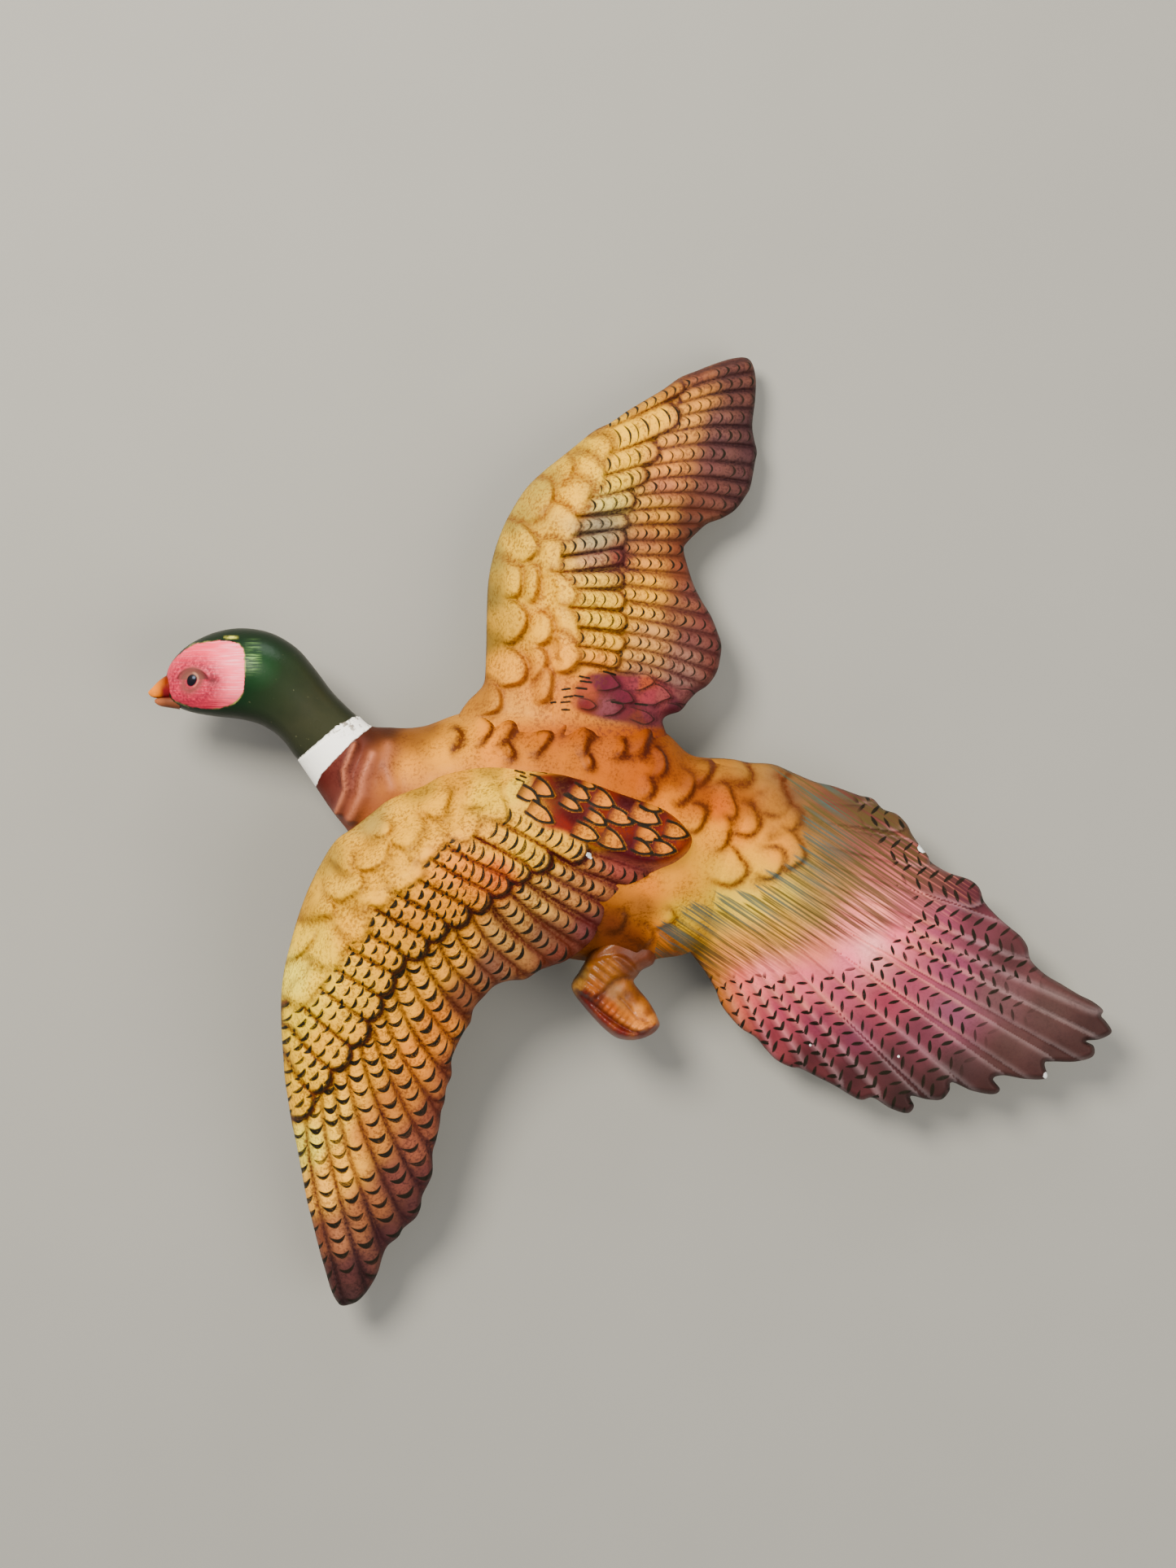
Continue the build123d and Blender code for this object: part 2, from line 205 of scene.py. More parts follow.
# ------------------------------------------------------------------ feathers
class Feather:
    """One feather: a bent centre line from root to tip, half widths at both ends and tip length."""

    def __init__(self, root, mid, tip, wide, wide_tip=None, point=1.0, ogive=False):
        root, mid, tip = (np.asarray(p, float) for p in (root, mid, tip))
        control = 2 * mid - (root + tip) / 2
        t = np.linspace(0, 1, 13)[:, None]
        self.line = (1 - t) ** 2 * root + 2 * t * (1 - t) * control + t**2 * tip
        self.run = np.concatenate([[0], np.cumsum(np.linalg.norm(np.diff(self.line, axis=0), axis=1))])
        self.length = self.run[-1]
        self.wide = wide
        self.wide_tip = wide_tip or wide
        self.point = point
        self.ogive = ogive
        self.number = rng.random()

    def measure(self, x, z):
        """Signed distance inside the outline, share across, and millimetres along."""
        best = np.full(x.shape, 1e18)
        side = np.zeros(x.shape)
        along = np.zeros(x.shape)
        last = len(self.line) - 2
        for k in range(last + 1):
            a, b = self.line[k], self.line[k + 1]
            d = b - a
            size = np.hypot(*d)
            t = ((x - a[0]) * d[0] + (z - a[1]) * d[1]) / size**2
            # The first and last spans run on past the ends.
            t = np.clip(t, -9.0 if k == 0 else 0.0, 9.0 if k == last else 1.0)
            px, pz = x - a[0] - t * d[0], z - a[1] - t * d[1]
            r = px**2 + pz**2
            near = r < best
            best = np.where(near, r, best)
            side = np.where(near, (d[0] * pz - d[1] * px) / size, side)
            along = np.where(near, self.run[k] + t * size, along)
        width = mix(self.wide, self.wide_tip, np.clip(along / self.length, 0, 1))
        u = side / width
        tip = self.point * width
        over = np.clip((along - (self.length - tip)) / tip, 0, None)
        under = np.clip(-along / width, 0, None)
        if self.ogive:
            f = 1 - np.abs(u) ** 1.25 - over**1.6
        else:
            f = 1 - np.sqrt(u**2 + over**2 + under**2)
        return f * width, u, along


class Relief:
    """What a painted surface carries at each point: height and the coordinates the paint follows."""

    OWNED = ("u", "along", "edge", "number", "layer")  # a feather gives its points these whole
    MARKS = ("crescent", "dash", "outline", "herring")  # these kinds of brush mark fade in

    def __init__(self, x, z):
        self.x, self.z = x, z
        self.drawn = x, z
        for key in ("h", "crease", "u", "along", "number", *self.MARKS):
            setattr(self, key, np.zeros(x.shape))
        self.edge = np.full(x.shape, FAR_OFF)
        self.layer = np.zeros(x.shape, int)

    def wander(self, size, amount):
        """Shift the points a little, so that the edges modelled next run less evenly."""
        x, z = self.drawn
        a, b = x / size, z / size
        self.x = x + amount * np.sin(1.7 * b + 1.3 * np.sin(1.1 * a))
        self.z = z + amount * np.sin(1.5 * a + 1.4 * np.sin(1.2 * b) + 2.0)

    def own(self, cover, owned, marks):
        take = cover > 0.5
        for key, value in zip(self.OWNED, owned):
            setattr(self, key, np.where(take, value, getattr(self, key)))
        for key in self.MARKS:
            setattr(self, key, mix(getattr(self, key), marks.get(key, 0.0), cover))

    def around(self, feather, margin):
        """Which points lie in the box round a feather."""
        reach = feather.wide + feather.wide_tip + margin
        low = feather.line.min(axis=0) - reach
        high = feather.line.max(axis=0) + reach
        return (self.x > low[0]) & (self.x < high[0]) & (self.z > low[1]) & (self.z < high[1])

    def ridges(self, feathers, rise, crown, edge, crease_width, crease=1.0, layer=1, **marks):
        """Feathers side by side: each is a rounded ridge and grooves run between them."""
        best = np.full(self.x.shape, -FAR_OFF)
        second = best.copy()
        u, along, number = (np.zeros(self.x.shape) for _ in range(3))
        length = np.ones(self.x.shape)
        for feather in feathers:
            near = self.around(feather, 4)
            if not near.any():
                continue
            d, fu, fa = feather.measure(self.x[near], self.z[near])
            old = best[near]
            win = d > old
            second[near] = np.where(win, old, np.maximum(second[near], d))
            found = (best, d), (u, fu), (along, fa), (number, feather.number), (length, feather.length)
            for values, own in found:
                values[near] = np.where(win, own, values[near])
        cover = smooth(best / edge + 0.5)
        gap = np.where(second > 0, (best - second) / 2, FAR_OFF)
        groove, rim = gaussian(gap / crease_width), gaussian(best / crease_width)
        top = rise + crown * np.sqrt(np.clip(1 - u**2 * 0.92, 0.02, 1))
        top -= 0.45 * crown * gaussian(gap / (crease_width * 0.6))
        self.h = mix(self.h, top, cover)
        # The crease marks where the paint goes darker between feathers and round each feather's edge, partly
        # as painted shade.
        self.crease = np.maximum(mix(self.crease, groove * crease * 0.8, cover), rim * crease)
        # Only a feather's tip carries an outline.
        near_tip = smooth((along - length + 3.2) / 1.2) * smooth((0.9 - np.abs(u)) / 0.2)
        marks["outline"] = marks.get("outline", 0.0) * near_tip
        self.own(cover, (u, along, np.minimum(best, gap), number, layer), marks)

    def stack(self, feathers, rise, crown, edge, crease_width, crease=1.0, lift=0.6,
              layer=2, fade=0.35, start=0.3, **marks):
        """Overlapping scales: each lies on those before it and rises towards its tip."""
        for feather in feathers:
            near = self.around(feather, 3)
            if not near.any():
                continue
            part = Relief(self.x[near], self.z[near])
            keys = "h", "crease", *self.OWNED, *self.MARKS
            for key in keys:
                setattr(part, key, getattr(self, key)[near])
            d, u, along = feather.measure(part.x, part.z)
            share = along / feather.length
            shown = smooth((share - start) / fade)
            cover = smooth(d / edge + 0.5) * shown
            top = rise + crown * np.sqrt(np.clip(1 - u**2 * 0.9, 0.02, 1)) + lift * np.clip(share, 0, 1)
            rim = gaussian((d + 0.35 * crease_width) / crease_width) * shown
            part.h = mix(part.h, top, cover)
            # The crease round each scale's edge darkens the paint, partly as painted shade.
            part.crease = np.maximum(part.crease * (1 - cover), rim * crease)
            part.own(cover, (u, along, d, feather.number, layer), marks)
            for key in keys:
                getattr(self, key)[near] = getattr(part, key)


def feathers(rows):
    """Feathers from (root, middle, tip, half width, half width at the tip) rows."""
    return [Feather(*row) for row in rows]


def straight(rows, point=1.0, ogive=False):
    """Feathers from (root, tip, half width) rows."""
    return [Feather(root, np.add(root, tip) / 2, tip, wide, wide, point, ogive) for root, tip, wide in rows]


# ------------------------------------------------------------------ meshes
def fill_outline(ring, spacing):
    """Points and triangles that fill a closed outline: the outline first, then the inside."""
    low, high = ring.min(axis=0), ring.max(axis=0)
    rows = []
    dz = spacing * math.sqrt(3) / 2
    count = int((high[1] - low[1]) / dz) + 2
    for k in range(count):
        xs = np.arange(low[0] + (k % 2) * spacing / 2, high[0] + spacing, spacing)
        rows.append(np.stack([xs, np.full(xs.shape, low[1] + k * dz)], axis=1))
    grid = np.concatenate(rows)
    grid = grid[inside(grid[:, 0], grid[:, 1], ring)]
    grid = grid[line_distance(grid[:, 0], grid[:, 1], ring) > spacing * 0.55]
    points = np.concatenate([ring, grid])
    edges = [(k, (k + 1) % len(ring)) for k in range(len(ring))]
    made = geometry.delaunay_2d_cdt([Vector(p) for p in points], edges, [], 1, 1e-5)
    verts = np.array([tuple(v) for v in made[0]])
    tris = np.array([f for f in made[2] if len(f) == 3])
    order = np.array([source[0] if source else -1 for source in made[3]])
    return verts, tris, order


def add_mesh(name, verts, tris, corner_maps=None, point_values=None, point_colours=None):
    """A smooth mesh object, with UV maps and with numbers and colours at its points."""
    mesh = bpy.data.meshes.new(name)
    mesh.vertices.add(len(verts))
    mesh.vertices.foreach_set("co", np.ascontiguousarray(verts, np.float32).ravel())
    corners = tris.size
    mesh.loops.add(corners)
    mesh.loops.foreach_set("vertex_index", np.ascontiguousarray(tris, np.int32).ravel())
    mesh.polygons.add(len(tris))
    mesh.polygons.foreach_set("loop_start", np.arange(0, corners, tris.shape[1], dtype=np.int32))
    mesh.update(calc_edges=True)
    mesh.validate()
    for key, values in (point_values or {}).items():
        layer = mesh.attributes.new(key, "FLOAT", "POINT")
        layer.data.foreach_set("value", np.ascontiguousarray(values, np.float32))
    for key, values in (point_colours or {}).items():
        layer = mesh.attributes.new(key, "FLOAT_COLOR", "POINT")
        rgba = np.concatenate([values, np.ones((len(values), 1))], axis=1)
        layer.data.foreach_set("color", np.ascontiguousarray(rgba, np.float32).ravel())
    for key, values in (corner_maps or {}).items():
        layer = mesh.uv_layers.new(name=key)
        layer.data.foreach_set("uv", np.ascontiguousarray(values, np.float32).ravel())
    mesh.polygons.foreach_set("use_smooth", np.ones(len(tris), bool))
    obj = bpy.data.objects.new(name, mesh)
    bpy.context.scene.collection.objects.link(obj)
    return obj


def quarter_round(t):
    """Height of a rounded rim, from 0 at its edge to 1 where t reaches 1."""
    return np.sqrt(np.clip(1 - (1 - np.clip(t, 0, 1)) ** 2, 0, 1))


def plate(name, outline, spacing, front, thickness, round_front, relief_of, paint_of, crease_paint,
          extras, step=0.5, back_spacing=1.4):
    """A cast plate, such as a wing: outline, front surface with feather relief, and a plain back."""
    ring = catmull(outline, step)
    verts, tris, order = fill_outline(ring, spacing)
    x, z = verts[:, 0], verts[:, 1]
    rim = line_distance(x, z, ring)
    rim[order < len(ring)] = 0
    relief = relief_of(x, z)
    y_front = front(x, z)
    rise = quarter_round(rim / round_front(x, z))
    # The rim of both sides lies a little behind the middle of the thickness.
    y = mix(y_front + thickness(x, z) * 0.55, y_front - relief.h * smooth(rim / 1.2), rise)
    front_at = settle(x, z, y)

    back, back_tris, back_order = fill_outline(ring, back_spacing)
    bx, bz = back[:, 0], back[:, 1]
    back_rim = line_distance(bx, bz, ring)
    back_y = front(bx, bz)
    back_thick = thickness(bx, bz)
    back_rise = quarter_round(back_rim / (back_thick * 0.6))
    back_y = mix(back_y + back_thick * 0.55, back_y + back_thick, back_rise)
    back_at = settle(bx, bz, back_y)
    # The back's outline points are the front's own.
    front_index = {int(o): k for k, o in enumerate(order) if 0 <= o < len(ring)}
    count = len(verts)
    renumber = np.arange(len(back)) + count
    for k, o in enumerate(back_order):
        if 0 <= o < len(ring) and int(o) in front_index:
            renumber[k] = front_index[int(o)]
    both = np.concatenate([front_at, back_at])
    all_tris = np.concatenate([tris, renumber[back_tris][:, ::-1]])
    used = np.zeros(len(both), bool)
    used[all_tris.ravel()] = True
    compact = np.cumsum(used) - 1
    # Front triangles face the viewer.
    a, b, c = (front_at[tris[:, k]] for k in range(3))
    if np.cross(b - a, c - a)[:, 1].mean() > 0:
        all_tris = all_tris[:, ::-1]

    def both_of(values, rest):
        return np.concatenate([values, np.broadcast_to(rest, (len(back),) + values.shape[1:])])

    # Corner maps: each triangle takes the feather that owns its middle.
    number = both_of(relief.number, 0.0)[all_tris]
    face_number = np.median(number, axis=1)[:, None]
    same = np.abs(number - face_number) < 1e-9
    corner = []
    for values in both_of(relief.u, 0.0), both_of(relief.along, 0.0), both_of(relief.edge, FAR_OFF):
        v = values[all_tris]
        mean = (v * same).sum(1) / np.maximum(same.sum(1), 1)
        corner.append(np.where(same, v, mean[:, None]))
    corner.append(np.repeat(face_number, 3, axis=1))
    points = {key: both_of(getattr(relief, key), 0.0) for key in ("crease", *relief.MARKS)}
    points["painted"] = np.concatenate([np.ones(count), smooth((1.6 - back_rim) / 1.6)])
    for key, values in extras(x, z, relief).items():
        points[key] = both_of(values, FAR_OFF)
    back_edge = smooth((2.5 - back_rim) / 2.5)[:, None]
    back_tint = mix(linear(BARE_BACK), paint_of(bx, bz, None), back_edge)
    colours = {
        "tint": np.concatenate([paint_of(x, z, relief), back_tint]),
        "shade": np.concatenate([crease_paint(x, z), crease_paint(bx, bz)]),
    }
    maps = {
        "feather": np.stack(corner[:2], axis=-1).reshape(-1, 2),
        "margin": np.stack(corner[2:], axis=-1).reshape(-1, 2),
    }
    return add_mesh(
        name, both[used], compact[all_tris], maps,
        {k: v[used] for k, v in points.items()}, {k: v[used] for k, v in colours.items()},
    )


# ------------------------------------------------------------------ shader nodes
class Value:
    """A shader socket or number with arithmetic, so node maths reads like maths."""

    def __init__(self, net, socket):
        self.net, self.socket = net, socket

    def _op(self, kind, other=None):
        return self.net.math(kind, self, other)

    def __add__(self, o): return self._op("ADD", o)
    def __radd__(self, o): return self._op("ADD", o)
    def __sub__(self, o): return self._op("SUBTRACT", o)
    def __rsub__(self, o): return self.net.math("SUBTRACT", o, self)
    def __mul__(self, o): return self._op("MULTIPLY", o)
    def __rmul__(self, o): return self._op("MULTIPLY", o)
    def __truediv__(self, o): return self._op("DIVIDE", o)
    def __abs__(self): return self._op("ABSOLUTE")
    def floor(self): return self._op("FLOOR")
    def max(self, o): return self._op("MAXIMUM", o)
    def power(self, o): return self._op("POWER", o)
    def above(self, o): return self._op("GREATER_THAN", o)
    def clamp(self): return self.net.clamp(self)


class Net:
    """A material's node tree, with its principled shader and the helpers that fill it."""

    def __init__(self, name, glaze=0.05):
        self.material = bpy.data.materials.new(name)
        self.material.use_nodes = True
        self.tree = self.material.node_tree
        self.tree.nodes.clear()
        self.out = self.node("ShaderNodeOutputMaterial")
        self.shader = self.node("ShaderNodeBsdfPrincipled")
        self.shader.inputs["Specular IOR Level"].default_value = glaze
        self.tree.links.new(self.shader.outputs["BSDF"], self.out.inputs["Surface"])
        self.place = self.node("ShaderNodeTexCoord").outputs["Object"]

    def node(self, kind, **settings):
        made = self.tree.nodes.new(kind)
        for key, value in settings.items():
            setattr(made, key, value)
        return made

    def put(self, socket, value):
        value = value.socket if isinstance(value, Value) else value
        if isinstance(value, bpy.types.NodeSocket):
            self.tree.links.new(value, socket)
        elif value is not None:
            socket.default_value = value

    def math(self, kind, *parts):
        made = self.node("ShaderNodeMath", operation=kind)
        for k, part in enumerate(parts):
            if part is not None:
                self.put(made.inputs[k], part)
        return Value(self, made.outputs[0])

    def clamp(self, value):
        made = self.node("ShaderNodeClamp")
        self.put(made.inputs[0], value)
        return Value(self, made.outputs[0])

    def attribute(self, name):
        return Value(self, self.node("ShaderNodeAttribute", attribute_name=name).outputs["Fac"])

    def colour_attribute(self, name):
        return self.node("ShaderNodeAttribute", attribute_name=name).outputs["Color"]

    def uv(self, name):
        split = self.node("ShaderNodeSeparateXYZ")
        self.put(split.inputs[0], self.node("ShaderNodeUVMap", uv_map=name).outputs[0])
        return Value(self, split.outputs[0]), Value(self, split.outputs[1])

    def noise(self, size_mm, detail=2.0, rough=0.5):
        made = self.node("ShaderNodeTexNoise")
        self.put(made.inputs["Vector"], self.place)
        made.inputs["Scale"].default_value = 1000 / size_mm
        made.inputs["Detail"].default_value = detail
        made.inputs["Roughness"].default_value = rough
        return Value(self, made.outputs[0])

    def pair(self, a, b):
        join = self.node("ShaderNodeCombineXYZ")
        self.put(join.inputs[0], a)
        self.put(join.inputs[1], b)
        return join.outputs[0]

    def streaks(self, across, along, wide_mm, long_mm, detail=2.0):
        """Brush streaks that run along one surface coordinate."""
        made = self.node("ShaderNodeTexNoise")
        self.put(made.inputs["Vector"], self.pair(across / wide_mm, along / long_mm))
        made.inputs["Scale"].default_value = 1.0
        made.inputs["Detail"].default_value = detail
        return Value(self, made.outputs[0])

    def random(self, a, b):
        made = self.node("ShaderNodeTexWhiteNoise", noise_dimensions="3D")
        self.put(made.inputs["Vector"], self.pair(a, b))
        split = self.node("ShaderNodeSeparateColor")
        self.put(split.inputs[0], made.outputs["Color"])
        return [Value(self, s) for s in split.outputs[:3]]

    def blend(self, factor, a, b):
        made = self.node("ShaderNodeMix", data_type="RGBA")
        self.put(made.inputs[0], factor)
        self.put(made.inputs[6], a)
        self.put(made.inputs[7], b)
        return made.outputs[2]

    def finish(self, tint, roughness, *bumps):
        """Join colour, roughness and (height, millimetres, strength) bumps, and give the material."""
        normal = None
        for height, distance_mm, strength in bumps:
            made = self.node("ShaderNodeBump")
            made.inputs["Distance"].default_value = distance_mm / 1000
            made.inputs["Strength"].default_value = strength
            self.put(made.inputs["Height"], height)
            self.put(made.inputs["Normal"], normal)
            normal = made.outputs["Normal"]
        self.put(self.shader.inputs["Base Color"], tint)
        self.put(self.shader.inputs["Roughness"], roughness)
        self.put(self.shader.inputs["Normal"], normal)
        return self.material


def rgba(colour):
    return tuple(float(c) for c in linear(colour)) + (1.0,)


INK = rgba((38, 33, 24))
BISQUE = rgba((222, 210, 190))
CHIP = rgba((250, 250, 246))


def crescents(net, u, along, number, pitch, bend, thick, span, ragged):
    """Short curved strokes across each feather, convex towards its tip."""
    w = (along + bend * u * u) / pitch + number * 31.0
    k = w.floor()
    a, b, c = net.random(k, number * 97.0)
    spread = abs(w - k - 0.5 + (a - 0.5) * 0.26) * pitch + ragged
    off = (u - (c - 0.5) * 0.26) / span
    half = (1.0 - off * off).max(0.0).power(0.5) * (b * 0.5 + 0.75) * thick
    return ((half - spread) / 0.2).clamp() * a.above(0.04)


def dabs(net, u, along, number, ragged, pitch=3.4, columns=1.15, bend=0.8, thick=0.74, span=0.9):
    """Short curved dabs of a brush in staggered columns."""
    w = along / pitch + number * 31.0
    k = w.floor()
    shifted = u * columns + 0.5 + (k * 0.5 - (k * 0.5).floor()) + 4.0
    column = shifted.floor()
    local = (shifted - column - 0.5) * 2.0
    a, b, c = net.random(k, number * 97.0 + column)
    spread = abs(w - k - 0.5 + (a - 0.5) * 0.24 + (local * local - 0.4) * (bend / pitch)) * pitch + ragged
    off = (local - (c - 0.5) * 0.3) / span
    half = (1.0 - off * off).max(0.0).power(0.5) * (b * 0.5 + 0.7) * thick
    return ((half - spread) / 0.26).clamp() * (1.35 - abs(u)).above(0.45)


def ground(net, mottle, fine, patches, dust, speckle, groove):
    """The sprayed ground: tint, with the darker shade in patches, as dust and along the grooves as painted
    shade.
    """
    shade = net.colour_attribute("shade")
    rate, level, amount = patches
    tint = net.blend(((mottle - 0.5) * rate + level).clamp() * amount, net.colour_attribute("tint"), shade)
    fine_start, patch_start, amount = dust
    grains = ((fine - fine_start) * 8.0).clamp() * speckle * ((mottle - patch_start) * 4.0).clamp()
    tint = net.blend(grains * amount, tint, shade)
    # Darker along the creases, partly as a dark wash and partly as painted shade.
    return net.blend((net.attribute("crease") * (groove + (fine - 0.5) * 1.2)).clamp(), tint, shade)


def coated(net, size_mm, ragged):
    """Where the paint ends on the way to the back, with a ragged edge."""
    edge = net.attribute("painted") - 0.5 + (net.noise(size_mm, 3.0) - 0.5) * ragged
    return (edge * 5.0 + 0.5).clamp()


def brush_fringe(net, tint):
    """Olive and blue-green brush strokes that run back over the root of the tail."""
    across, along = net.attribute("sweep"), net.attribute("reach")
    begin = net.attribute("fringe")
    hair = net.streaks(across, along, 0.6, 34.0, 2.0)
    lock = net.streaks(across + 50.0, along, 2.6, 70.0, 1.0)
    ends = (lock - 0.5) * 16.0 + (hair - 0.5) * 5.0
    inked = ((begin + ends) / 1.5).clamp()
    gone = ((begin - 34.0 + (hair - 0.5) * 30.0) / 16.0).clamp()
    body = inked * (1.0 - gone)
    dark = ((hair - 0.4) * 6.0).clamp()
    blue = ((lock - 0.44) * 9.0).clamp() * (1.0 - ((begin - 8.0) / 9.0).clamp())
    stroke = net.blend(blue, rgba((104, 92, 46)), rgba((80, 112, 104)))
    tint = net.blend(body * dark * 0.86, tint, stroke)
    late = ((begin - 18.0) / 12.0).clamp() * (1.0 - ((begin - 46.0) / 10.0).clamp())
    wine = net.blend(((hair - 0.5) * 6.0 + 0.5).clamp(), rgba((246, 170, 160)), rgba((140, 44, 58)))
    return net.blend((late * abs(hair - 0.5) * 2.4).clamp() * 0.7, tint, wine)


def feather_paint(name, pitch=4.6, bend=3.6, thick=0.84, span=0.68, ink_edge=0.55, roughness=0.46,
                  herring_pitch=3.6, speckle=1.0, brushed=False, ticks=False, glaze=0.05):
    """The paint of a piece with feathers: tint, dust, dark grooves that are partly painted shade, ink marks,
    chips and bare back.
    """
    net = Net(name, glaze)
    u, along = net.uv("feather")
    edge, number = net.uv("margin")
    mottle = net.noise(5.0, 3.0)
    fine = net.noise(0.9, 3.0, 0.65)
    grain = net.noise(0.42, 2.0, 0.6)
    ragged = (net.noise(0.9, 1.0) - 0.5) * 0.26
    tint = ground(net, mottle, fine, patches=(1.1, 0.32, 0.3), dust=(0.47, 0.3, 0.6), speckle=speckle,
                  groove=0.82)
    strokes = crescents(net, u, along, number, pitch, bend, thick, span, ragged)
    strokes = strokes * net.attribute("crescent")
    dashes = dabs(net, u, along, number, ragged) * net.attribute("dash")
    # Herringbone: strokes that spread from the shaft towards the tip.
    across = abs(u)
    w = (along - across * 2.7) / herring_pitch + number * 31.0
    k = w.floor()
    a, b, c = net.random(k, number * 53.0)
    spread = abs(w - k - 0.5 + (a - 0.5) * 0.16) * herring_pitch + ragged
    off = (across - 0.46 - (c - 0.5) * 0.08) / 0.4
    half = (1.0 - off * off).max(0.0).power(0.8) * (b * 0.35 + 0.75) * 0.78
    herring = ((half - spread) / 0.2).clamp() * net.attribute("herring")
    line = net.attribute("outline") * ((ink_edge - abs(edge - 0.5 + ragged * 0.8)) / 0.2).clamp()
    if ticks:
        line = line.max(((0.42 - net.attribute("tick") + ragged * 0.5) / 0.2).clamp())
    ink = strokes.max(dashes).max(herring).max(line)
    ink = ink * (1.05 + (fine - 0.5) * 0.9).clamp()
    if brushed:
        tint = brush_fringe(net, tint)
    tint = net.blend(ink, tint, INK)
    chip = (net.noise(1.1, 2.0) - 0.5) * 0.9 - net.attribute("chip")
    tint = net.blend((chip / 0.15).clamp(), tint, CHIP)
    painted = coated(net, size_mm=2.0, ragged=1.2)
    tint = net.blend(painted, net.blend(mottle * 0.3, BISQUE, rgba((196, 178, 150))), tint)
    rough = (roughness + (mottle - 0.5) * 0.22 + (1.0 - painted) * 0.35 + ink * 0.08).clamp()
    return net.finish(tint, rough, (grain, 0.10, 0.55), (net.noise(1.6, 2.0), 0.16, 0.5), (ink, 0.05, 0.6))


# ------------------------------------------------------------------ near wing
NEAR_OUTLINE = [
    (28.6, -22), (25, -17.2), (20, -13.6), (12, -10.5), (5, -8), (-5, -4), (-10, -2.5), (-20, -1.5),
    (-28, -1), (-35, -1.5), (-40, -2.5), (-45, -4), (-50, -7), (-55, -9), (-60, -11.5), (-65, -15.5),
    (-70, -19.5), (-75, -23), (-79, -29), (-83, -37), (-86, -45), (-88, -52), (-90, -60), (-91, -68),
    (-91, -77), (-90.5, -85), (-90, -92), (-89, -99), (-88, -105), (-86.5, -112), (-85, -120),
    (-83.5, -128), (-82, -134), (-80, -142), (-78, -149), (-76.5, -154), (-75, -157), (-73.3, -158.5),
    (-70, -157.8), (-68, -156.5), (-65.5, -153.5), (-63, -149), (-61.5, -144), (-60, -141), (-57, -138.5),
    (-55.5, -136), (-52, -133), (-50.5, -130), (-50, -126.5), (-48, -122.5), (-47, -119.5), (-47, -114),
    (-46, -110.5), (-45, -106), (-44.5, -102), (-43.5, -99), (-43, -95), (-41.5, -91.5), (-41.5, -87),
    (-40, -83), (-38, -79), (-36, -76), (-35, -72), (-32, -68.5), (-29, -65.5), (-25, -64), (-20, -63.5),
    (-16, -61), (-12, -59.5), (-9, -58.5), (-5, -56), (-1, -52.5), (2, -48.5), (5, -44), (8, -42),
    (12, -37.5), (15, -35), (19, -32), (24, -29.6), (27.8, -26.2),
]
NEAR_FRONT = thin_plate([
    (27, -21, -38), (12, -11, -41), (-5, -5, -44), (-20, -3, -45), (-35, -3, -45), (-50, -8, -44.5),
    (-65, -16, -44), (-79, -29, -43), (-86, -45, -41), (-90, -60, -39), (-90.5, -85, -33.5),
    (-88, -105, -29), (-83, -128, -24), (-78, -148, -19.5), (-74, -158, -17), (10, -25, -46),
    (-10, -20, -53), (-30, -18, -56), (-50, -24, -57.5), (-66, -36, -57.5), (-76, -52, -55),
    (-81, -70, -49.5), (-79, -90, -42.5), (-74, -110, -35.5), (-70, -130, -28.5), (-69, -148, -21.5),
    (15, -35, -39), (2, -49, -38.5), (-12, -60, -37.5), (-29, -66, -36.5), (-36, -76, -33.5),
    (-42, -91, -29.5), (-46, -110, -25.5), (-50, -128, -21.5), (-60, -141, -19), (-66, -154, -16.5),
    (-20, -42, -50), (-45, -52, -50), (-55, -70, -45), (-60, -95, -37), (-60, -118, -30),
], 0.002)
NEAR_THICK = thin_plate([
    (27, -21, 7), (12, -11, 9), (-20, -3, 11), (-50, -8, 11), (-79, -29, 9), (-90, -60, 8.5),
    (-90, -85, 7.5), (-85, -120, 6), (-76, -156, 4), (-30, -20, 13), (-60, -36, 13), (-72, -60, 11),
    (15, -35, 6), (2, -49, 5), (-12, -60, 4.5), (-29, -66, 4.5), (-42, -91, 4), (-48, -118, 3.6),
    (-62, -146, 3.4), (-66, -100, 7), (-68, -135, 5),
], 0.01)
NEAR_FLIGHT = [
    ((-4, -29), (7, -32.5), (16, -36), 2.8, 3.2), ((-11, -31.5), (0, -37), (11, -41), 2.6, 3.0),
    ((-17, -34), (-6, -40.5), (5.5, -47), 2.6, 3.0), ((-22.5, -36.5), (-12, -45), (1.5, -52.5), 2.8, 3.3),
    ((-28, -39), (-19, -49), (-7.5, -58), 3.2, 3.8), ((-33, -43.5), (-27, -52), (-15, -61), 3.2, 3.8),
    ((-38, -46.5), (-33, -55), (-23, -64.5), 3.2, 3.7), ((-43, -49.5), (-39, -58), (-29.5, -67), 3.2, 3.7),
    ((-48, -53), (-44.5, -61), (-34, -72.5), 3.3, 3.7), ((-53, -57), (-48.5, -67), (-37.5, -80), 3.5, 3.9),
    ((-57, -62), (-52, -73), (-40.5, -88.5), 3.6, 4.2), ((-60, -69), (-54, -83), (-42.5, -98), 3.4, 4.2),
    ((-62.5, -75), (-57, -90), (-45, -110.5), 3.2, 4.2),
    ((-66, -80), (-60.5, -97), (-47.5, -122.5), 3.2, 4.3),
    ((-70, -84.5), (-65, -104), (-51, -132.5), 3.2, 4.5),
    ((-74, -89), (-69.5, -111), (-56.5, -140), 3.0, 4.2),
    ((-77.5, -94), (-73.5, -117), (-63, -150), 3.0, 4.0),
    ((-81.5, -99), (-78.5, -122), (-69, -158), 3.0, 3.9),
    ((-86, -104), (-84, -125), (-75.5, -159), 2.8, 3.3),
]
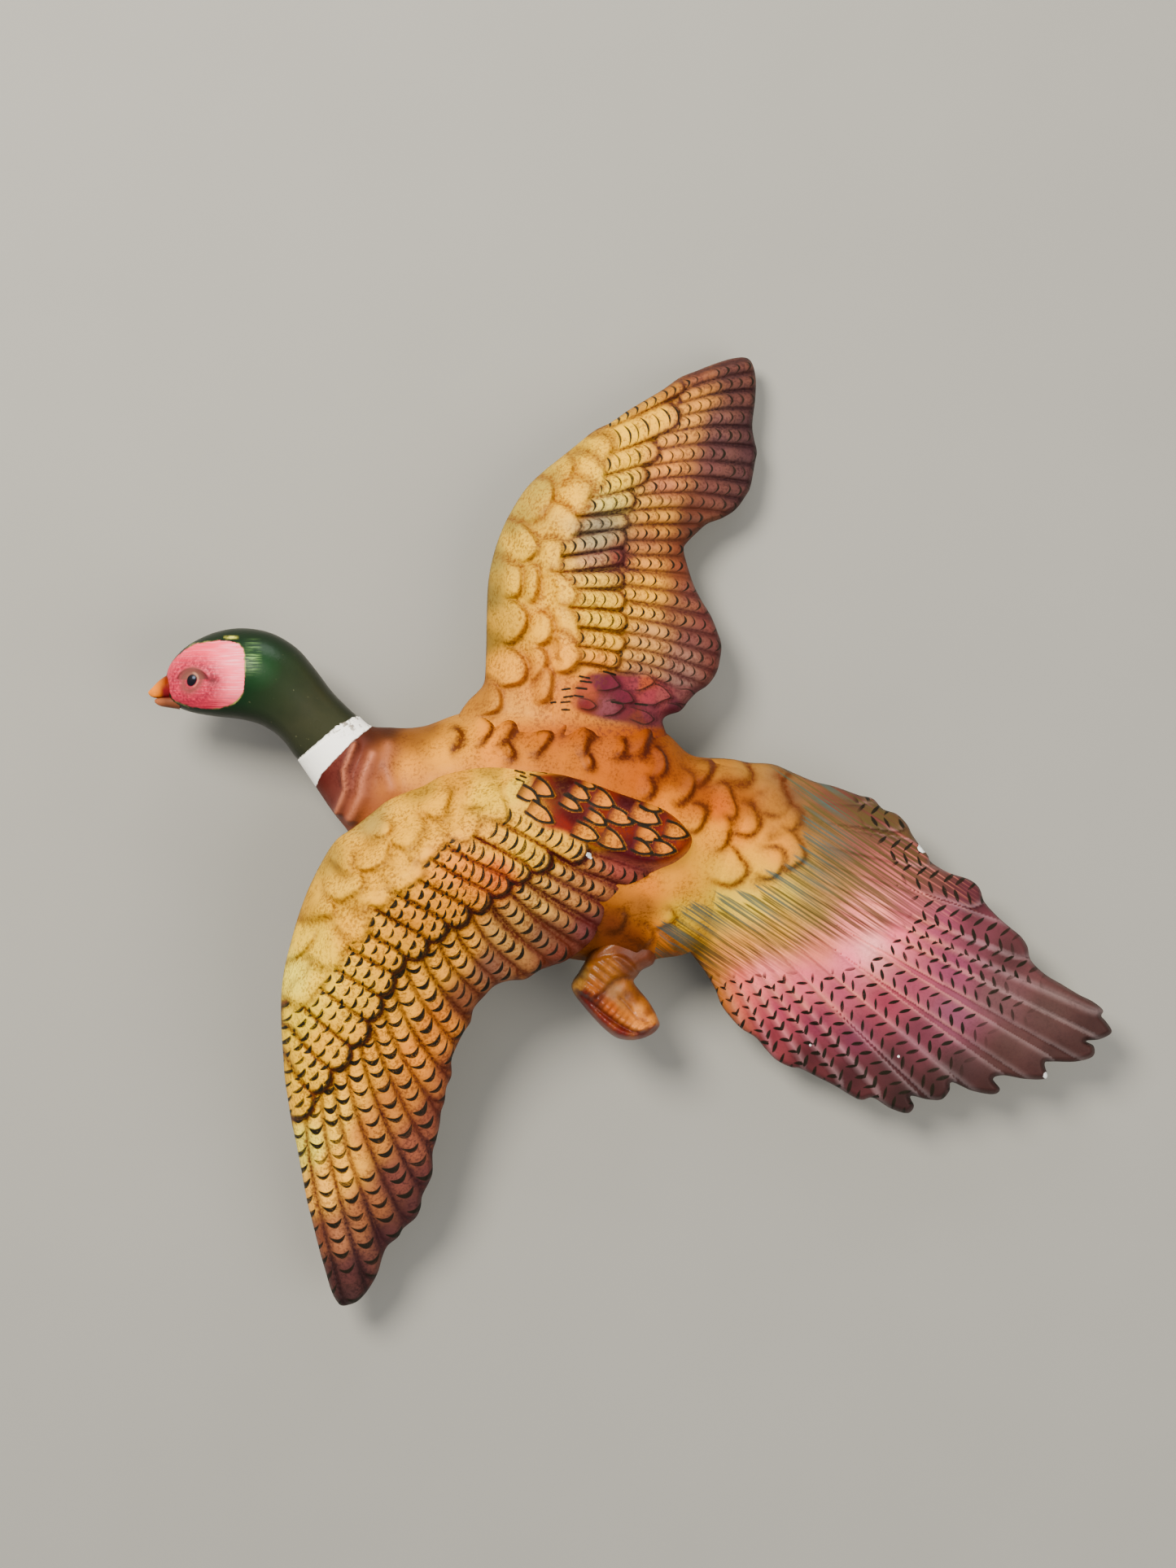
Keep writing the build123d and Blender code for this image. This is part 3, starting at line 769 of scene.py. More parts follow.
NEAR_COVERTS = [
    ((-27, -15.5), (-16, -20), (-2, -28), 4.2), ((-34, -18), (-25, -23), (-13, -31), 4.2),
    ((-40, -23.5), (-31, -28), (-18.5, -33.5), 3.8), ((-46, -25.5), (-37, -31.5), (-24.5, -37.5), 3.7),
    ((-50, -31), (-41, -36.5), (-30, -42), 3.9), ((-55, -37), (-46, -41.5), (-36.5, -46.5), 4.1),
    ((-60, -40.5), (-52, -45.5), (-43, -50.5), 4.2), ((-65, -47), (-57, -51.5), (-48.5, -55.5), 4.2),
    ((-70, -52), (-63, -55.5), (-55.5, -60), 4.2), ((-75, -57), (-67.5, -61), (-58.5, -66.5), 4.4),
    ((-79, -62), (-71.5, -67.5), (-62, -73.5), 4.5), ((-84, -68), (-76, -74), (-66, -81), 4.7),
    ((-87, -74), (-80.5, -81), (-71.5, -88), 4.8), ((-90, -81), (-85, -88), (-77.5, -95), 4.8),
    ((-92, -86), (-89, -95), (-83, -103), 5.0),
]
NEAR_LESSER = [
    ((-90, -54), (-83.5, -69.5), 7.5), ((-84, -45), (-74.5, -58.5), 6.5), ((-79, -36), (-67, -50), 6.2),
    ((-72, -28), (-60.5, -42.5), 6.2), ((-65, -21), (-52.5, -35.5), 6.2), ((-57, -15), (-45.5, -27), 6.0),
    ((-48, -10), (-36, -21.5), 5.8), ((-38, -7), (-26, -15.5), 5.5), ((-91, -44), (-86, -57), 6),
    ((-85, -33), (-78, -46), 5.6), ((-78, -26), (-70, -39), 5.4), ((-70, -19), (-61, -31), 5.4),
    ((-62, -14), (-52, -24), 5.2), ((-52, -8), (-43, -16), 4.8), ((-77, -22), (-71, -31), 4.6),
    ((-68, -15), (-61.5, -22.5), 4.4),
]
NEAR_SCAPULARS = [
    ((-19.5, -5.6), (-11.2, -10.6), 2.5), ((-23.5, -7.4), (-15.4, -12.0), 2.1),
    ((-21.0, -11.6), (-11.4, -18.4), 2.3), ((-8.6, -6.6), (-0.6, -11.9), 2.2),
    ((-11.6, -9.8), (-3.2, -14.8), 1.8), ((-5.8, -4.9), (1.4, -8.4), 1.6),
    ((-4.2, -13.9), (4.2, -19.0), 1.9), ((-2.2, -8.7), (6.6, -13.8), 2.7),
    ((2.2, -14.2), (12.0, -18.5), 2.4), ((8.6, -12.6), (19.8, -18.5), 3.0),
    ((12.2, -10.7), (20.2, -15.0), 1.9), ((18.2, -18.9), (28.2, -21.9), 2.5),
    ((9.8, -19.7), (20.1, -23.2), 2.3), ((14.8, -24.6), (24.4, -26.3), 2.3),
    ((-8.4, -18.3), (2.2, -23.2), 2.4), ((0.4, -20.4), (9.6, -25.9), 2.8),
    ((9.6, -23.2), (17.6, -27.2), 2.1),
]
NEAR_TICKS = [
    ((-23.0, -2.8), (-20.2, -3.6)), ((-20.0, -2.6), (-17.8, -2.9)), ((-16.2, -3.0), (-13.8, -3.5)),
    ((-18.6, -3.9), (-15.8, -4.7)), ((-21.5, -4.3), (-19.8, -4.9)), ((-22.8, -5.2), (-20.4, -6.1)),
]
SCAPULAR_ZONE = catmull([
    (-25, -6), (-20, -4.2), (-12, -3.6), (-4, -4.4), (6, -7.6), (16, -11), (22, -15), (29, -20.5),
    (28, -24.5), (22, -29), (14, -29.5), (6, -27), (-2, -24.5), (-9, -20.5), (-16, -19), (-23, -14.5),
    (-26, -10),
], 1.0)
# Colours of the near wing by place; the palest spots along its left edge are painted highlight.
NEAR_PAINT_AND_HIGHLIGHT = colour_field([
    (-30, -3, (190, 140, 44)), (-50, -8, (184, 138, 52)), (-65, -17, (188, 156, 92)),
    (-78, -29, (190, 150, 70)), (-85, -42, (208, 160, 62)), (-40, -6, (210, 148, 42)),
    (-22, -6, (240, 186, 78)), (-30, -10, (252, 212, 70)), (-45, -14, (240, 186, 64)),
    (-56, -20, (236, 184, 68)), (-66, -28, (232, 180, 78)), (-75, -38, (226, 180, 88)),
    (-82, -52, (252, 218, 110)), (-88, -62, (255, 236, 156)), (-86, -75, (255, 224, 100)),
    (-88, -92, (255, 214, 78)), (-60, -34, (248, 196, 70)), (-70, -50, (254, 202, 84)),
    (-78, -64, (255, 220, 112)), (-10, -22, (252, 200, 104)), (-20, -26, (252, 206, 104)),
    (-30, -22, (240, 184, 96)), (-28, -33, (218, 120, 78)), (-38, -34, (244, 164, 76)),
    (-42, -40, (255, 188, 80)), (-52, -46, (250, 184, 76)), (-60, -55, (255, 198, 86)),
    (-70, -66, (255, 208, 92)), (-78, -82, (255, 204, 68)), (-84, -98, (254, 206, 80)),
    (8, -31, (166, 78, 68)), (0, -37, (200, 130, 96)), (6, -44, (86, 42, 44)), (-8, -40, (206, 146, 108)),
    (-16, -41, (220, 170, 120)), (-2, -49, (122, 62, 60)), (-14, -50, (146, 96, 72)),
    (-10, -57, (122, 58, 46)), (-26, -50, (206, 154, 108)), (-30, -60, (144, 92, 72)),
    (-40, -54, (244, 184, 116)), (-38, -70, (140, 80, 56)), (-50, -62, (246, 188, 116)),
    (-46, -76, (222, 144, 88)), (-42, -90, (160, 88, 62)), (-56, -72, (246, 188, 110)),
    (-52, -86, (232, 156, 92)), (-46, -104, (140, 74, 56)), (-62, -82, (244, 182, 104)),
    (-58, -98, (206, 132, 84)), (-52, -112, (168, 94, 74)), (-68, -92, (244, 186, 108)),
    (-66, -108, (212, 142, 92)), (-58, -122, (134, 70, 60)), (-76, -104, (252, 208, 130)),
    (-74, -118, (248, 194, 126)), (-66, -130, (178, 108, 80)), (-84, -112, (255, 236, 160)),
    (-80, -126, (252, 200, 148)), (-74, -138, (184, 118, 92)), (-80, -138, (150, 82, 60)),
    (-70, -148, (92, 50, 48)), (-76, -150, (94, 52, 48)), (-72, -157, (70, 44, 42)),
    (-60, -138, (88, 48, 46)), (-52, -130, (84, 46, 44)), (-48, -120, (100, 50, 46)),
])
NEAR_SHADE = colour_field([
    (-30, -6, (126, 80, 26)), (-60, -25, (136, 78, 28)), (-80, -50, (150, 84, 28)),
    (-85, -85, (130, 62, 20)), (-30, -30, (104, 32, 26)), (-50, -45, (92, 38, 18)), (0, -35, (104, 34, 32)),
    (-20, -55, (112, 46, 28)), (-45, -75, (96, 40, 24)), (-70, -85, (104, 46, 26)),
    (-55, -100, (104, 44, 34)), (-75, -120, (128, 62, 40)), (-65, -135, (70, 38, 40)),
    (-50, -118, (66, 36, 38)), (-72, -155, (50, 32, 32)), (10, -20, (96, 38, 38)),
])


def near_relief(x, z):
    """Flight feathers, coverts with dabs, soft lesser coverts, and small scapulars at the shoulder."""
    relief = Relief(x, z)
    relief.ridges(feathers(NEAR_FLIGHT), rise=0.2, crown=1.3, edge=1.0, crease_width=1.3, crease=1.1,
                  crescent=1.0, layer=1)
    relief.ridges(feathers(NEAR_COVERTS), rise=1.6, crown=1.4, edge=1.1, crease_width=1.2, crease=1.35,
                  dash=1.0, outline=0.8, layer=2)
    inner = (relief.layer == 2) & (x > -36)
    relief.crescent = np.where(inner, 1.0, relief.crescent)
    relief.dash = np.where(inner, 0.0, relief.dash)
    # The strokes stand closer together on the short feathers near the body.
    relief.along = relief.along * (1 + 0.4 * smooth((x + 50) / 25))
    relief.wander(4.2, 1.1)
    relief.stack(straight(NEAR_LESSER, 1.1), rise=2.0, crown=0.5, edge=2.4, crease_width=1.5, crease=0.7,
                 lift=1.1, layer=3, fade=0.5)
    relief.wander(4.2, 0.0)
    zone = smooth(signed_distance(x, z, SCAPULAR_ZONE) / 3.0 + 0.6)
    relief.h = mix(relief.h, 3.0, zone)
    relief.crease = relief.crease * (1 - zone)
    for mark in (relief.dash, relief.crescent):
        mark *= 1 - smooth(signed_distance(x, z, SCAPULAR_ZONE) / 0.6 + 0.5)
    scapulars = straight([(a, b, 1.14 * w) for a, b, w in NEAR_SCAPULARS], 2.0, True)
    relief.stack(scapulars, rise=2.7, crown=0.2, edge=0.7, crease_width=0.6, crease=0.25, lift=0.7,
                 outline=1.0, layer=4, fade=0.2, start=0.1)
    return relief


SCAPULAR_PAINT = colour_field([
    (-24, -8, (244, 206, 110)), (-19, -13.6, (240, 192, 104)), (-14, -8, (172, 58, 48)),
    (-8, -6, (116, 36, 36)), (-6, -16, (150, 60, 56)), (-3, -10, (200, 98, 56)), (3, -10, (214, 104, 54)),
    (10, -12, (120, 32, 36)), (8, -17, (220, 120, 60)), (16, -17, (206, 78, 74)), (17, -13, (140, 84, 56)),
    (24, -20.6, (240, 156, 66)), (20.6, -25, (226, 122, 64)), (0, -22, (250, 196, 110)),
    (8, -27, (150, 48, 54)), (15, -27, (150, 30, 46)), (-9, -19.5, (220, 112, 96)),
], power=4.5, soft=1.6)


def near_paint(x, z, relief):
    """Yellow to brown by place, redder between the scapulars, and lighter along the middle of each flight
    feather as a painted highlight.
    """
    # The paint is lightened, with a higher limit low on the wing: painted light that offsets the shade of the
    # relief.
    tint = lighten(NEAR_PAINT_AND_HIGHLIGHT(x, z), 1.45, mix(0.74, 0.95, smooth((-42 - z) / 24))[:, None])
    if relief is None:
        return tint
    zone = smooth(signed_distance(x, z, SCAPULAR_ZONE) / 2.4 + 0.5)[:, None]
    tint = mix(tint, SCAPULAR_PAINT(x, z), zone)
    ripe = smooth((relief.along - 1.8 - 0.6 * np.abs(relief.u)) / 4.2)[:, None]
    scale = mix(linear((86, 20, 30)), linear((250, 176, 60)), ripe)
    scapular = mix(tint * 0.8, scale, mix(0.9, 0.7, ripe))
    deep = zone * smooth((x[:, None] + 19) / 9)
    tint = np.where((relief.layer == 4)[:, None], scapular, mix(tint, tint * (0.3, 0.13, 0.2), deep))
    # Painted highlight along the middle of each flight feather, painted shade towards its edges.
    flight = (relief.layer == 1)[:, None]
    ridge = np.clip(1 - np.abs(relief.u), 0, 1)[:, None]
    return np.where(flight, tint * (0.82 + 0.34 * ridge), tint)


# ------------------------------------------------------------------ far wing
FAR_OUTLINE = [
    (-40, 12), (-37, 17), (-34, 20), (-32, 23), (-31.5, 30), (-31.3, 40), (-31, 50), (-30, 57), (-28, 64),
    (-25, 71), (-20, 79), (-15, 84), (-10, 88), (-5, 92), (0, 96), (5, 98.5), (10, 102), (15, 105),
    (20, 108), (25, 111.5), (30, 113.5), (35, 115.5), (40, 117), (44, 117.3), (46, 115.5), (47, 111),
    (46.8, 105), (46, 98), (46.4, 94), (47.3, 90), (46.8, 87), (45.5, 80), (44, 77), (41, 73), (37, 70.5),
    (33, 69), (30, 66.5), (27, 63.5), (26, 61.5), (27, 57), (29, 51), (31, 47), (34, 42), (36, 37),
    (37, 33.5), (36.5, 29), (35.5, 25.5), (33, 22), (30, 20), (27.5, 17.5), (25, 14.5), (20, 12), (20, 4),
    (0, 2), (-25, 2), (-42, 4),
]
FAR_FRONT = thin_plate([
    (-38, 14, -30), (-32, 24, -27), (-31, 45, -24), (-28, 64, -22), (-15, 84, -19), (5, 98.5, -16),
    (25, 111, -13), (44, 117, -10), (-10, 12, -36), (-12, 30, -36), (-14, 48, -34), (-14, 62, -31),
    (-6, 78, -27), (8, 90, -22), (24, 101, -18), (38, 110, -13), (47, 104, -9.5), (47, 90, -10),
    (44, 77, -11.5), (33, 69, -13), (26, 61.5, -15), (29, 51, -16), (36, 37, -18), (36, 27, -19.5),
    (26, 15, -24), (14, 12, -32), (12, 30, -30), (12, 50, -27), (14, 70, -22), (26, 84, -17), (22, 35, -26),
], 0.003)
FAR_THICK = thin_plate([
    (-38, 14, 10), (-31, 45, 9), (-15, 84, 8), (25, 111, 5.5), (44, 117, 4), (-12, 30, 14), (-8, 60, 12),
    (10, 88, 8), (47, 98, 3.6), (44, 77, 3.6), (27, 62, 4), (36, 35, 4.2), (26, 15, 6), (12, 45, 9),
    (22, 75, 6), (0, 8, 14),
], 0.01)
FAR_FLIGHT = [
    ((26, 109.5), (36, 113), (48, 115.5), 1.7, 2.0), ((26.5, 106), (37, 109.3), (49, 110.5), 1.9, 2.4),
    ((25.5, 102), (37, 104.6), (49, 104.8), 2.1, 2.6), ((23, 97.5), (35, 99.8), (49, 99.3), 2.2, 2.6),
    ((20.5, 93), (34, 94.7), (49.5, 93.7), 2.3, 2.6), ((18.5, 88), (32, 89.5), (49.5, 88), 2.3, 2.6),
    ((16, 83.5), (31, 85), (49, 82.7), 2.3, 2.5), ((13.5, 79), (28, 80.2), (48, 77.5), 2.2, 2.5),
    ((12.5, 75), (26, 75.7), (43, 73.6), 2.2, 2.3), ((12, 70.6), (24, 71), (38, 70), 2.2, 2.2),
    ((11, 66.2), (21, 66.3), (33, 66.3), 2.2, 2.2), ((10.5, 62), (19, 61.8), (29.5, 61.3), 2.1, 2.1),
    ((10.5, 57.7), (19, 57.2), (30.5, 56.2), 2.1, 2.2), ((10, 53.2), (20, 52), (31.5, 50), 2.2, 2.3),
    ((10, 48.6), (21, 47), (34, 44.3), 2.2, 2.4), ((10, 43.8), (22, 41.7), (36.5, 38.3), 2.2, 2.4),
    ((10, 39.3), (23, 36.7), (38.5, 32.5), 2.2, 2.4), ((10, 35), (23, 32.2), (38, 27.2), 2.2, 2.4),
    ((9.5, 30.8), (22, 28), (36, 22.7), 2.1, 2.3), ((8, 27.6), (19, 25), (33, 18.6), 1.9, 2.1),
]
FAR_COVERTS = [
    ((5, 98.3), (15, 103.8), (26, 109.5), 1.8, 2.1), ((2, 92.5), (13, 96.5), (24.5, 102), 4.2, 4.0),
    ((1, 86), (10, 88), (18.7, 91), 3.4, 3.2), ((-2, 78.5), (7, 81), (15.3, 84), 3.2, 2.9),
    ((-4, 73.8), (4, 75), (12, 76.5), 2.6, 2.7), ((-7, 68.3), (2, 69), (10, 69.7), 2.2, 2.2),
    ((-10, 62), (0, 63.5), (9.3, 65), 2.5, 2.8), ((-10, 56.8), (0, 58.2), (8.7, 59.7), 2.2, 2.4),
    ((-9, 52.5), (0, 52.5), (8.6, 53), 2.5, 2.5), ((-8, 47.3), (1, 47), (9, 46.3), 2.8, 2.8),
    ((-7, 41.7), (1, 41.2), (9.4, 40), 2.8, 2.8), ((-8, 36), (1, 35.2), (9, 33.8), 2.6, 2.7),
    ((-8, 31), (1, 30.2), (7.5, 28.5), 2.4, 2.5),
]
FAR_SCALES = [
    ((-8, 88), (4.6, 92.6), 4.2), ((-12, 80), (3, 86.2), 5.2), ((-16, 73), (-1.6, 80), 5.6),
    ((-20, 64), (-5.5, 71.5), 6.0), ((-22, 56), (-9.2, 61), 5.8), ((-18, 47.5), (-5.6, 48.2), 6.6),
    ((-16, 38.5), (-4.2, 38.8), 5.6), ((-16, 30.5), (-4.8, 31), 5.6), ((-20, 21.5), (-11.5, 22.5), 4.4),
    ((-22, 29), (-14.6, 28.8), 4.8), ((-23, 38), (-11.3, 38.6), 5.4), ((-23, 52), (-15.5, 52), 5.2),
    ((-17, 84), (-7, 87), 4.5), ((-25, 74), (-12, 78), 5.5), ((-28, 62), (-17.5, 66), 5.8),
    ((-32, 52), (-20.5, 54), 5.6), ((-33, 40), (-20, 40.8), 6.0), ((-33, 27), (-20.5, 27.5), 6.4),
    ((-38, 18), (-27, 18), 5),
]
FAR_SCAPULARS = [
    ((20, 13.6), (30.5, 16.6), 2.6), ((15, 15.2), (27.5, 13.4), 2.5), ((18, 19.4), (30, 18.6), 2.8),
    ((9, 20.8), (22.5, 18.2), 3.0), ((4, 14.6), (17.5, 12.4), 2.3), ((7, 24.6), (17.5, 22.2), 2.8),
    ((-3, 15.6), (9.5, 15.2), 2.3), ((1, 20.2), (12.5, 17.6), 2.6), ((-9, 17), (1.5, 16.4), 2.2),
    ((-5, 24.2), (7.6, 22), 3.3),
]
FAR_PAINT = colour_field([
    (-34, 20, (190, 126, 60)), (-31, 35, (160, 122, 54)), (-30, 48, (162, 132, 70)),
    (-29, 60, (180, 156, 86)), (-24, 70, (196, 168, 92)), (-15, 82, (206, 176, 98)),
    (-5, 90, (222, 186, 90)), (-22, 62, (246, 206, 110)), (-22, 50, (246, 204, 112)),
    (-26, 40, (222, 174, 90)), (-26, 28, (240, 180, 96)), (-16, 40, (240, 188, 92)),
    (-12, 50, (242, 196, 90)), (-10, 62, (236, 190, 82)), (-6, 76, (238, 190, 70)),
    (-2, 86, (238, 192, 66)), (-10, 30, (240, 178, 84)), (-16, 22, (226, 158, 92)),
    (-25, 15, (222, 160, 90)), (-8, 20, (220, 140, 84)), (10, 96, (246, 202, 62)),
    (18, 100, (240, 190, 60)), (8, 88, (244, 198, 66)), (5, 81, (244, 206, 96)), (4, 75, (230, 208, 150)),
    (2, 69, (176, 158, 132)), (0, 64, (196, 176, 142)), (0, 58.5, (206, 152, 132)),
    (7, 59.5, (150, 62, 58)), (0, 53, (248, 206, 130)), (0, 46, (246, 206, 104)), (3, 40, (244, 202, 96)),
    (3, 34, (242, 190, 100)), (2, 29, (232, 160, 90)), (12, 104, (206, 150, 84)),
    (22, 107.5, (200, 132, 66)), (30, 111, (150, 84, 66)), (40, 113, (112, 66, 58)),
    (30, 105, (224, 160, 108)), (42, 106, (116, 68, 60)), (26, 99, (230, 170, 120)),
    (36, 99, (134, 84, 78)), (45, 98, (84, 52, 52)), (24, 92, (224, 160, 118)), (36, 92, (112, 70, 70)),
    (46, 90, (82, 50, 52)), (22, 87, (232, 164, 120)), (34, 86, (126, 74, 70)), (44, 83, (96, 58, 56)),
    (20, 79, (206, 132, 112)), (34, 79, (126, 72, 64)), (42, 76, (92, 54, 50)), (18, 74, (234, 180, 124)),
    (30, 73, (118, 64, 50)), (18, 69, (222, 158, 104)), (28, 68, (80, 48, 42)), (16, 64, (196, 126, 100)),
    (25, 62, (140, 68, 50)), (16, 57, (232, 168, 122)), (26, 56, (150, 72, 56)), (15, 50, (242, 186, 92)),
    (28, 49, (142, 78, 68)), (14, 44, (244, 190, 116)), (24, 43, (166, 104, 78)), (33, 41, (130, 64, 58)),
    (16, 37, (212, 156, 124)), (28, 35, (136, 78, 72)), (36, 33, (112, 58, 54)), (14, 31, (226, 172, 126)),
    (26, 29, (180, 126, 110)), (35, 27, (128, 66, 56)), (14, 27, (182, 124, 100)),
    (26, 23, (158, 112, 102)), (32, 21, (124, 70, 62)), (20, 16, (90, 58, 68)), (24, 14, (120, 60, 56)),
])
FAR_SHADE = colour_field([
    (-30, 40, (128, 84, 24)), (-12, 45, (164, 82, 26)), (-8, 75, (160, 80, 22)), (10, 98, (134, 64, 20)),
    (2, 66, (92, 66, 54)), (3, 58, (90, 36, 44)), (5, 40, (140, 74, 34)), (20, 70, (110, 54, 38)),
    (40, 100, (54, 32, 34)), (44, 84, (54, 32, 34)), (24, 92, (104, 56, 54)), (30, 45, (90, 42, 40)),
    (34, 30, (84, 40, 38)), (20, 50, (130, 66, 44)), (15, 18, (86, 36, 44)), (-15, 22, (166, 88, 56)),
])
FAR_SCAPULAR_PAINT = colour_field([
    (2, 22.5, (112, 34, 56)), (6, 21.6, (130, 44, 62)), (11, 22.4, (164, 66, 74)), (15, 22, (196, 96, 74)),
    (16, 19.4, (176, 70, 78)), (20, 18.6, (176, 86, 84)), (26, 18.6, (150, 84, 80)),
    (24, 16, (110, 44, 56)), (-3, 17, (136, 44, 46)), (4, 16, (150, 76, 84)), (8, 18.4, (120, 40, 56)),
    (10, 14.6, (126, 46, 52)), (16, 14.4, (150, 66, 74)), (-7, 17.4, (206, 116, 86)),
    (24, 13.6, (110, 44, 50)), (12, 12.6, (140, 60, 44)), (28, 16.4, (104, 50, 56)),
    (-8, 23, (214, 120, 76)), (-2, 20, (190, 90, 74)), (30, 19, (120, 64, 66)),
], power=5.0, soft=0.8)
FAR_ZONE = catmull([
    (-7, 18), (-3, 24.6), (3, 26), (10, 25.2), (17, 24.6), (24, 21.6), (34, 21), (32, 14), (22, 10),
    (8, 11), (-4, 14),
], 1.0)
FAR_TICKS = [
    ((-9.3, 20.7), (-7.0, 21.0)), ((-8.8, 18.5), (-6.4, 18.8)), ((-12.6, 16.9), (-11.2, 17.1)),
    ((-9.6, 17.0), (-7.0, 17.2)), ((-9.4, 14.9), (-7.2, 14.8)), ((-4.2, 24.6), (-1.4, 24.0)),
    ((-4.0, 23.2), (-0.8, 22.8)), ((-5.2, 21.2), (-2.2, 20.9)), ((-5.8, 19.0), (-3.2, 18.6)),
    ((2.8, 26.0), (6.2, 25.0)), ((12.0, 16.6), (15.4, 16.2)), ((5.0, 17.2), (8.0, 16.6)),
]


def far_relief(x, z):
    """Flight feathers, coverts and soft scales, sinking into the body at the shoulder."""
    relief = Relief(x, z)
    relief.ridges(feathers(FAR_FLIGHT), rise=0.2, crown=1.15, edge=0.9, crease_width=0.9, crease=1.0,
                  crescent=1.0, layer=1)
    relief.ridges(feathers(FAR_COVERTS), rise=1.4, crown=1.3, edge=1.0, crease_width=1.0, crease=1.1,
                  crescent=1.0, layer=2)
    relief.wander(4.6, 0.8)
    relief.stack(straight(FAR_SCALES), rise=1.6, crown=0.5, edge=1.9, crease_width=1.5, crease=0.85,
                 lift=1.3, layer=3, fade=0.5, start=0.2)
    relief.wander(4.6, 0.0)
    low = smooth((25 - z) / 6)
    relief.h = mix(relief.h, 0.6, low * (x > -12))
    relief.crescent = relief.crescent * (1 - smooth((24.5 - z - 0.12 * (x - 10)) / 1.5))
    relief.crease = relief.crease * (1 - 0.7 * low * (x > -12))
    relief.wander(3.4, 0.5)
    relief.stack(straight(FAR_SCAPULARS, 1.5, True), rise=0.3, crown=0.5, edge=1.6, crease_width=1.0,
                 crease=0.6, lift=0.9, outline=0.8, layer=4, fade=0.5, start=0.2)
    relief.h = relief.h * smooth((z - 9) / 6)
    return relief


def far_paint(x, z, relief):
    """Yellow to maroon by place, with the body's colours at the shoulder, and a painted highlight along the
    middle of each flight feather.
    """
    tint = lighten(FAR_PAINT(x, z), 1.2, 0.8)
    if relief is None:
        return tint
    zone = smooth(signed_distance(x, z, FAR_ZONE) / 2.4 + 0.5)[:, None]
    tint = mix(tint, FAR_SCAPULAR_PAINT(x, z), zone)
    low = smooth((15 - z) / 7)[:, None] * (1 - zone)
    tint = mix(tint, BODY_PAINT_AND_SHADING(x, z), low)
    # Painted highlight along the middle of each flight feather, painted shade towards its edges.
    ridge = np.clip(1 - np.abs(relief.u), 0, 1)[:, None]
    return np.where((relief.layer == 1)[:, None], tint * (0.84 + 0.26 * ridge), tint)


# ------------------------------------------------------------------ tail
TAIL_OUTLINE = [
    (24, 0), (33, 0.8), (40, 0.5), (45, -0.5), (52, -1), (58, -3.5), (64, -6), (70, -7.5), (77, -10),
    (81, -11), (84, -14), (88, -15.5), (91, -18.5), (92.5, -21.5), (95, -25), (97, -27.5), (98, -29.5),
    (103, -32.5), (109, -34.5), (112, -37), (113.5, -41), (117, -45), (121, -48.5), (124, -51), (126, -54),
    (127, -58), (131, -62), (136, -65), (141, -68), (145, -70), (148, -72.5), (147.5, -74.2), (149, -76),
    (150.5, -79), (147, -81), (143, -81.5), (145.3, -83), (145, -86), (140, -87.5), (133, -87.5),
    (131, -88), (131.8, -91.8), (130, -92.7), (125, -92.5), (119, -91.5), (116, -92.5), (118, -95.5),
    (116, -97), (110, -96), (104, -93.5), (103.3, -96), (101, -98.5), (97, -98.5), (92, -97.5),
    (93, -100.5), (91, -102.5), (86, -101), (81, -98), (77, -98.5), (70, -94.5), (65, -92), (60, -89.5),
    (57, -89), (53, -87), (50, -84), (47, -80.5), (43, -78), (40, -75), (37, -71), (35, -66), (32, -61),
    (29, -57), (24, -50), (20, -36), (18, -20), (20, -6),
]
TAIL_FRONT = thin_plate([
    (26, -2, -24), (45, -1, -25), (64, -6, -24), (84, -14, -22), (98, -29, -21), (113, -40, -20),
    (127, -58, -19), (148, -73, -19), (149, -79, -19), (131, -91, -18.5), (117, -96, -18),
    (92, -101, -17.5), (70, -94, -17), (50, -84, -17), (37, -71, -18.5), (30, -58, -20.5), (20, -36, -30),
    (40, -25, -35), (58, -25, -34), (60, -45, -32), (80, -50, -30), (100, -62, -27), (120, -74, -23),
    (70, -70, -26), (90, -80, -24), (75, -20, -28), (45, -52, -30), (32, -40, -33), (100, -42, -25),
], 0.003)
TAIL_TIPS = [
    ((81, -9.5), 3.8), ((92, -17), 4.0), ((99, -28.5), 4.3), ((114.5, -39.5), 4.6), ((128, -55), 4.8),
    ((150, -72), 4.6), ((152.5, -79), 4.4), ((148, -85.5), 4.4), ((134.5, -92.5), 4.6), ((120, -97.5), 4.7),
    ((105, -98.5), 4.7), ((94, -103.5), 4.7), ((82, -100.5), 4.7), ((71, -97), 4.4), ((60, -91.5), 4.2),
    ((50, -86), 4.0), ((42, -79), 3.6),
]
TAIL_COVERTS = [
    ((30, -3), (45, -1.5), 5), ((40, -3), (56, -5), 5), ((30, -12), (41, -12), 5),
    ((42, -8), (56, -12), 5.5), ((46, -14), (59, -19), 5), ((30, -20), (40, -22), 5),
    ((36, -14), (47, -18), 5), ((46, -22), (60.5, -27), 5), ((40, -26), (54, -32), 5),
    ((30, -28), (43, -33), 5),
]
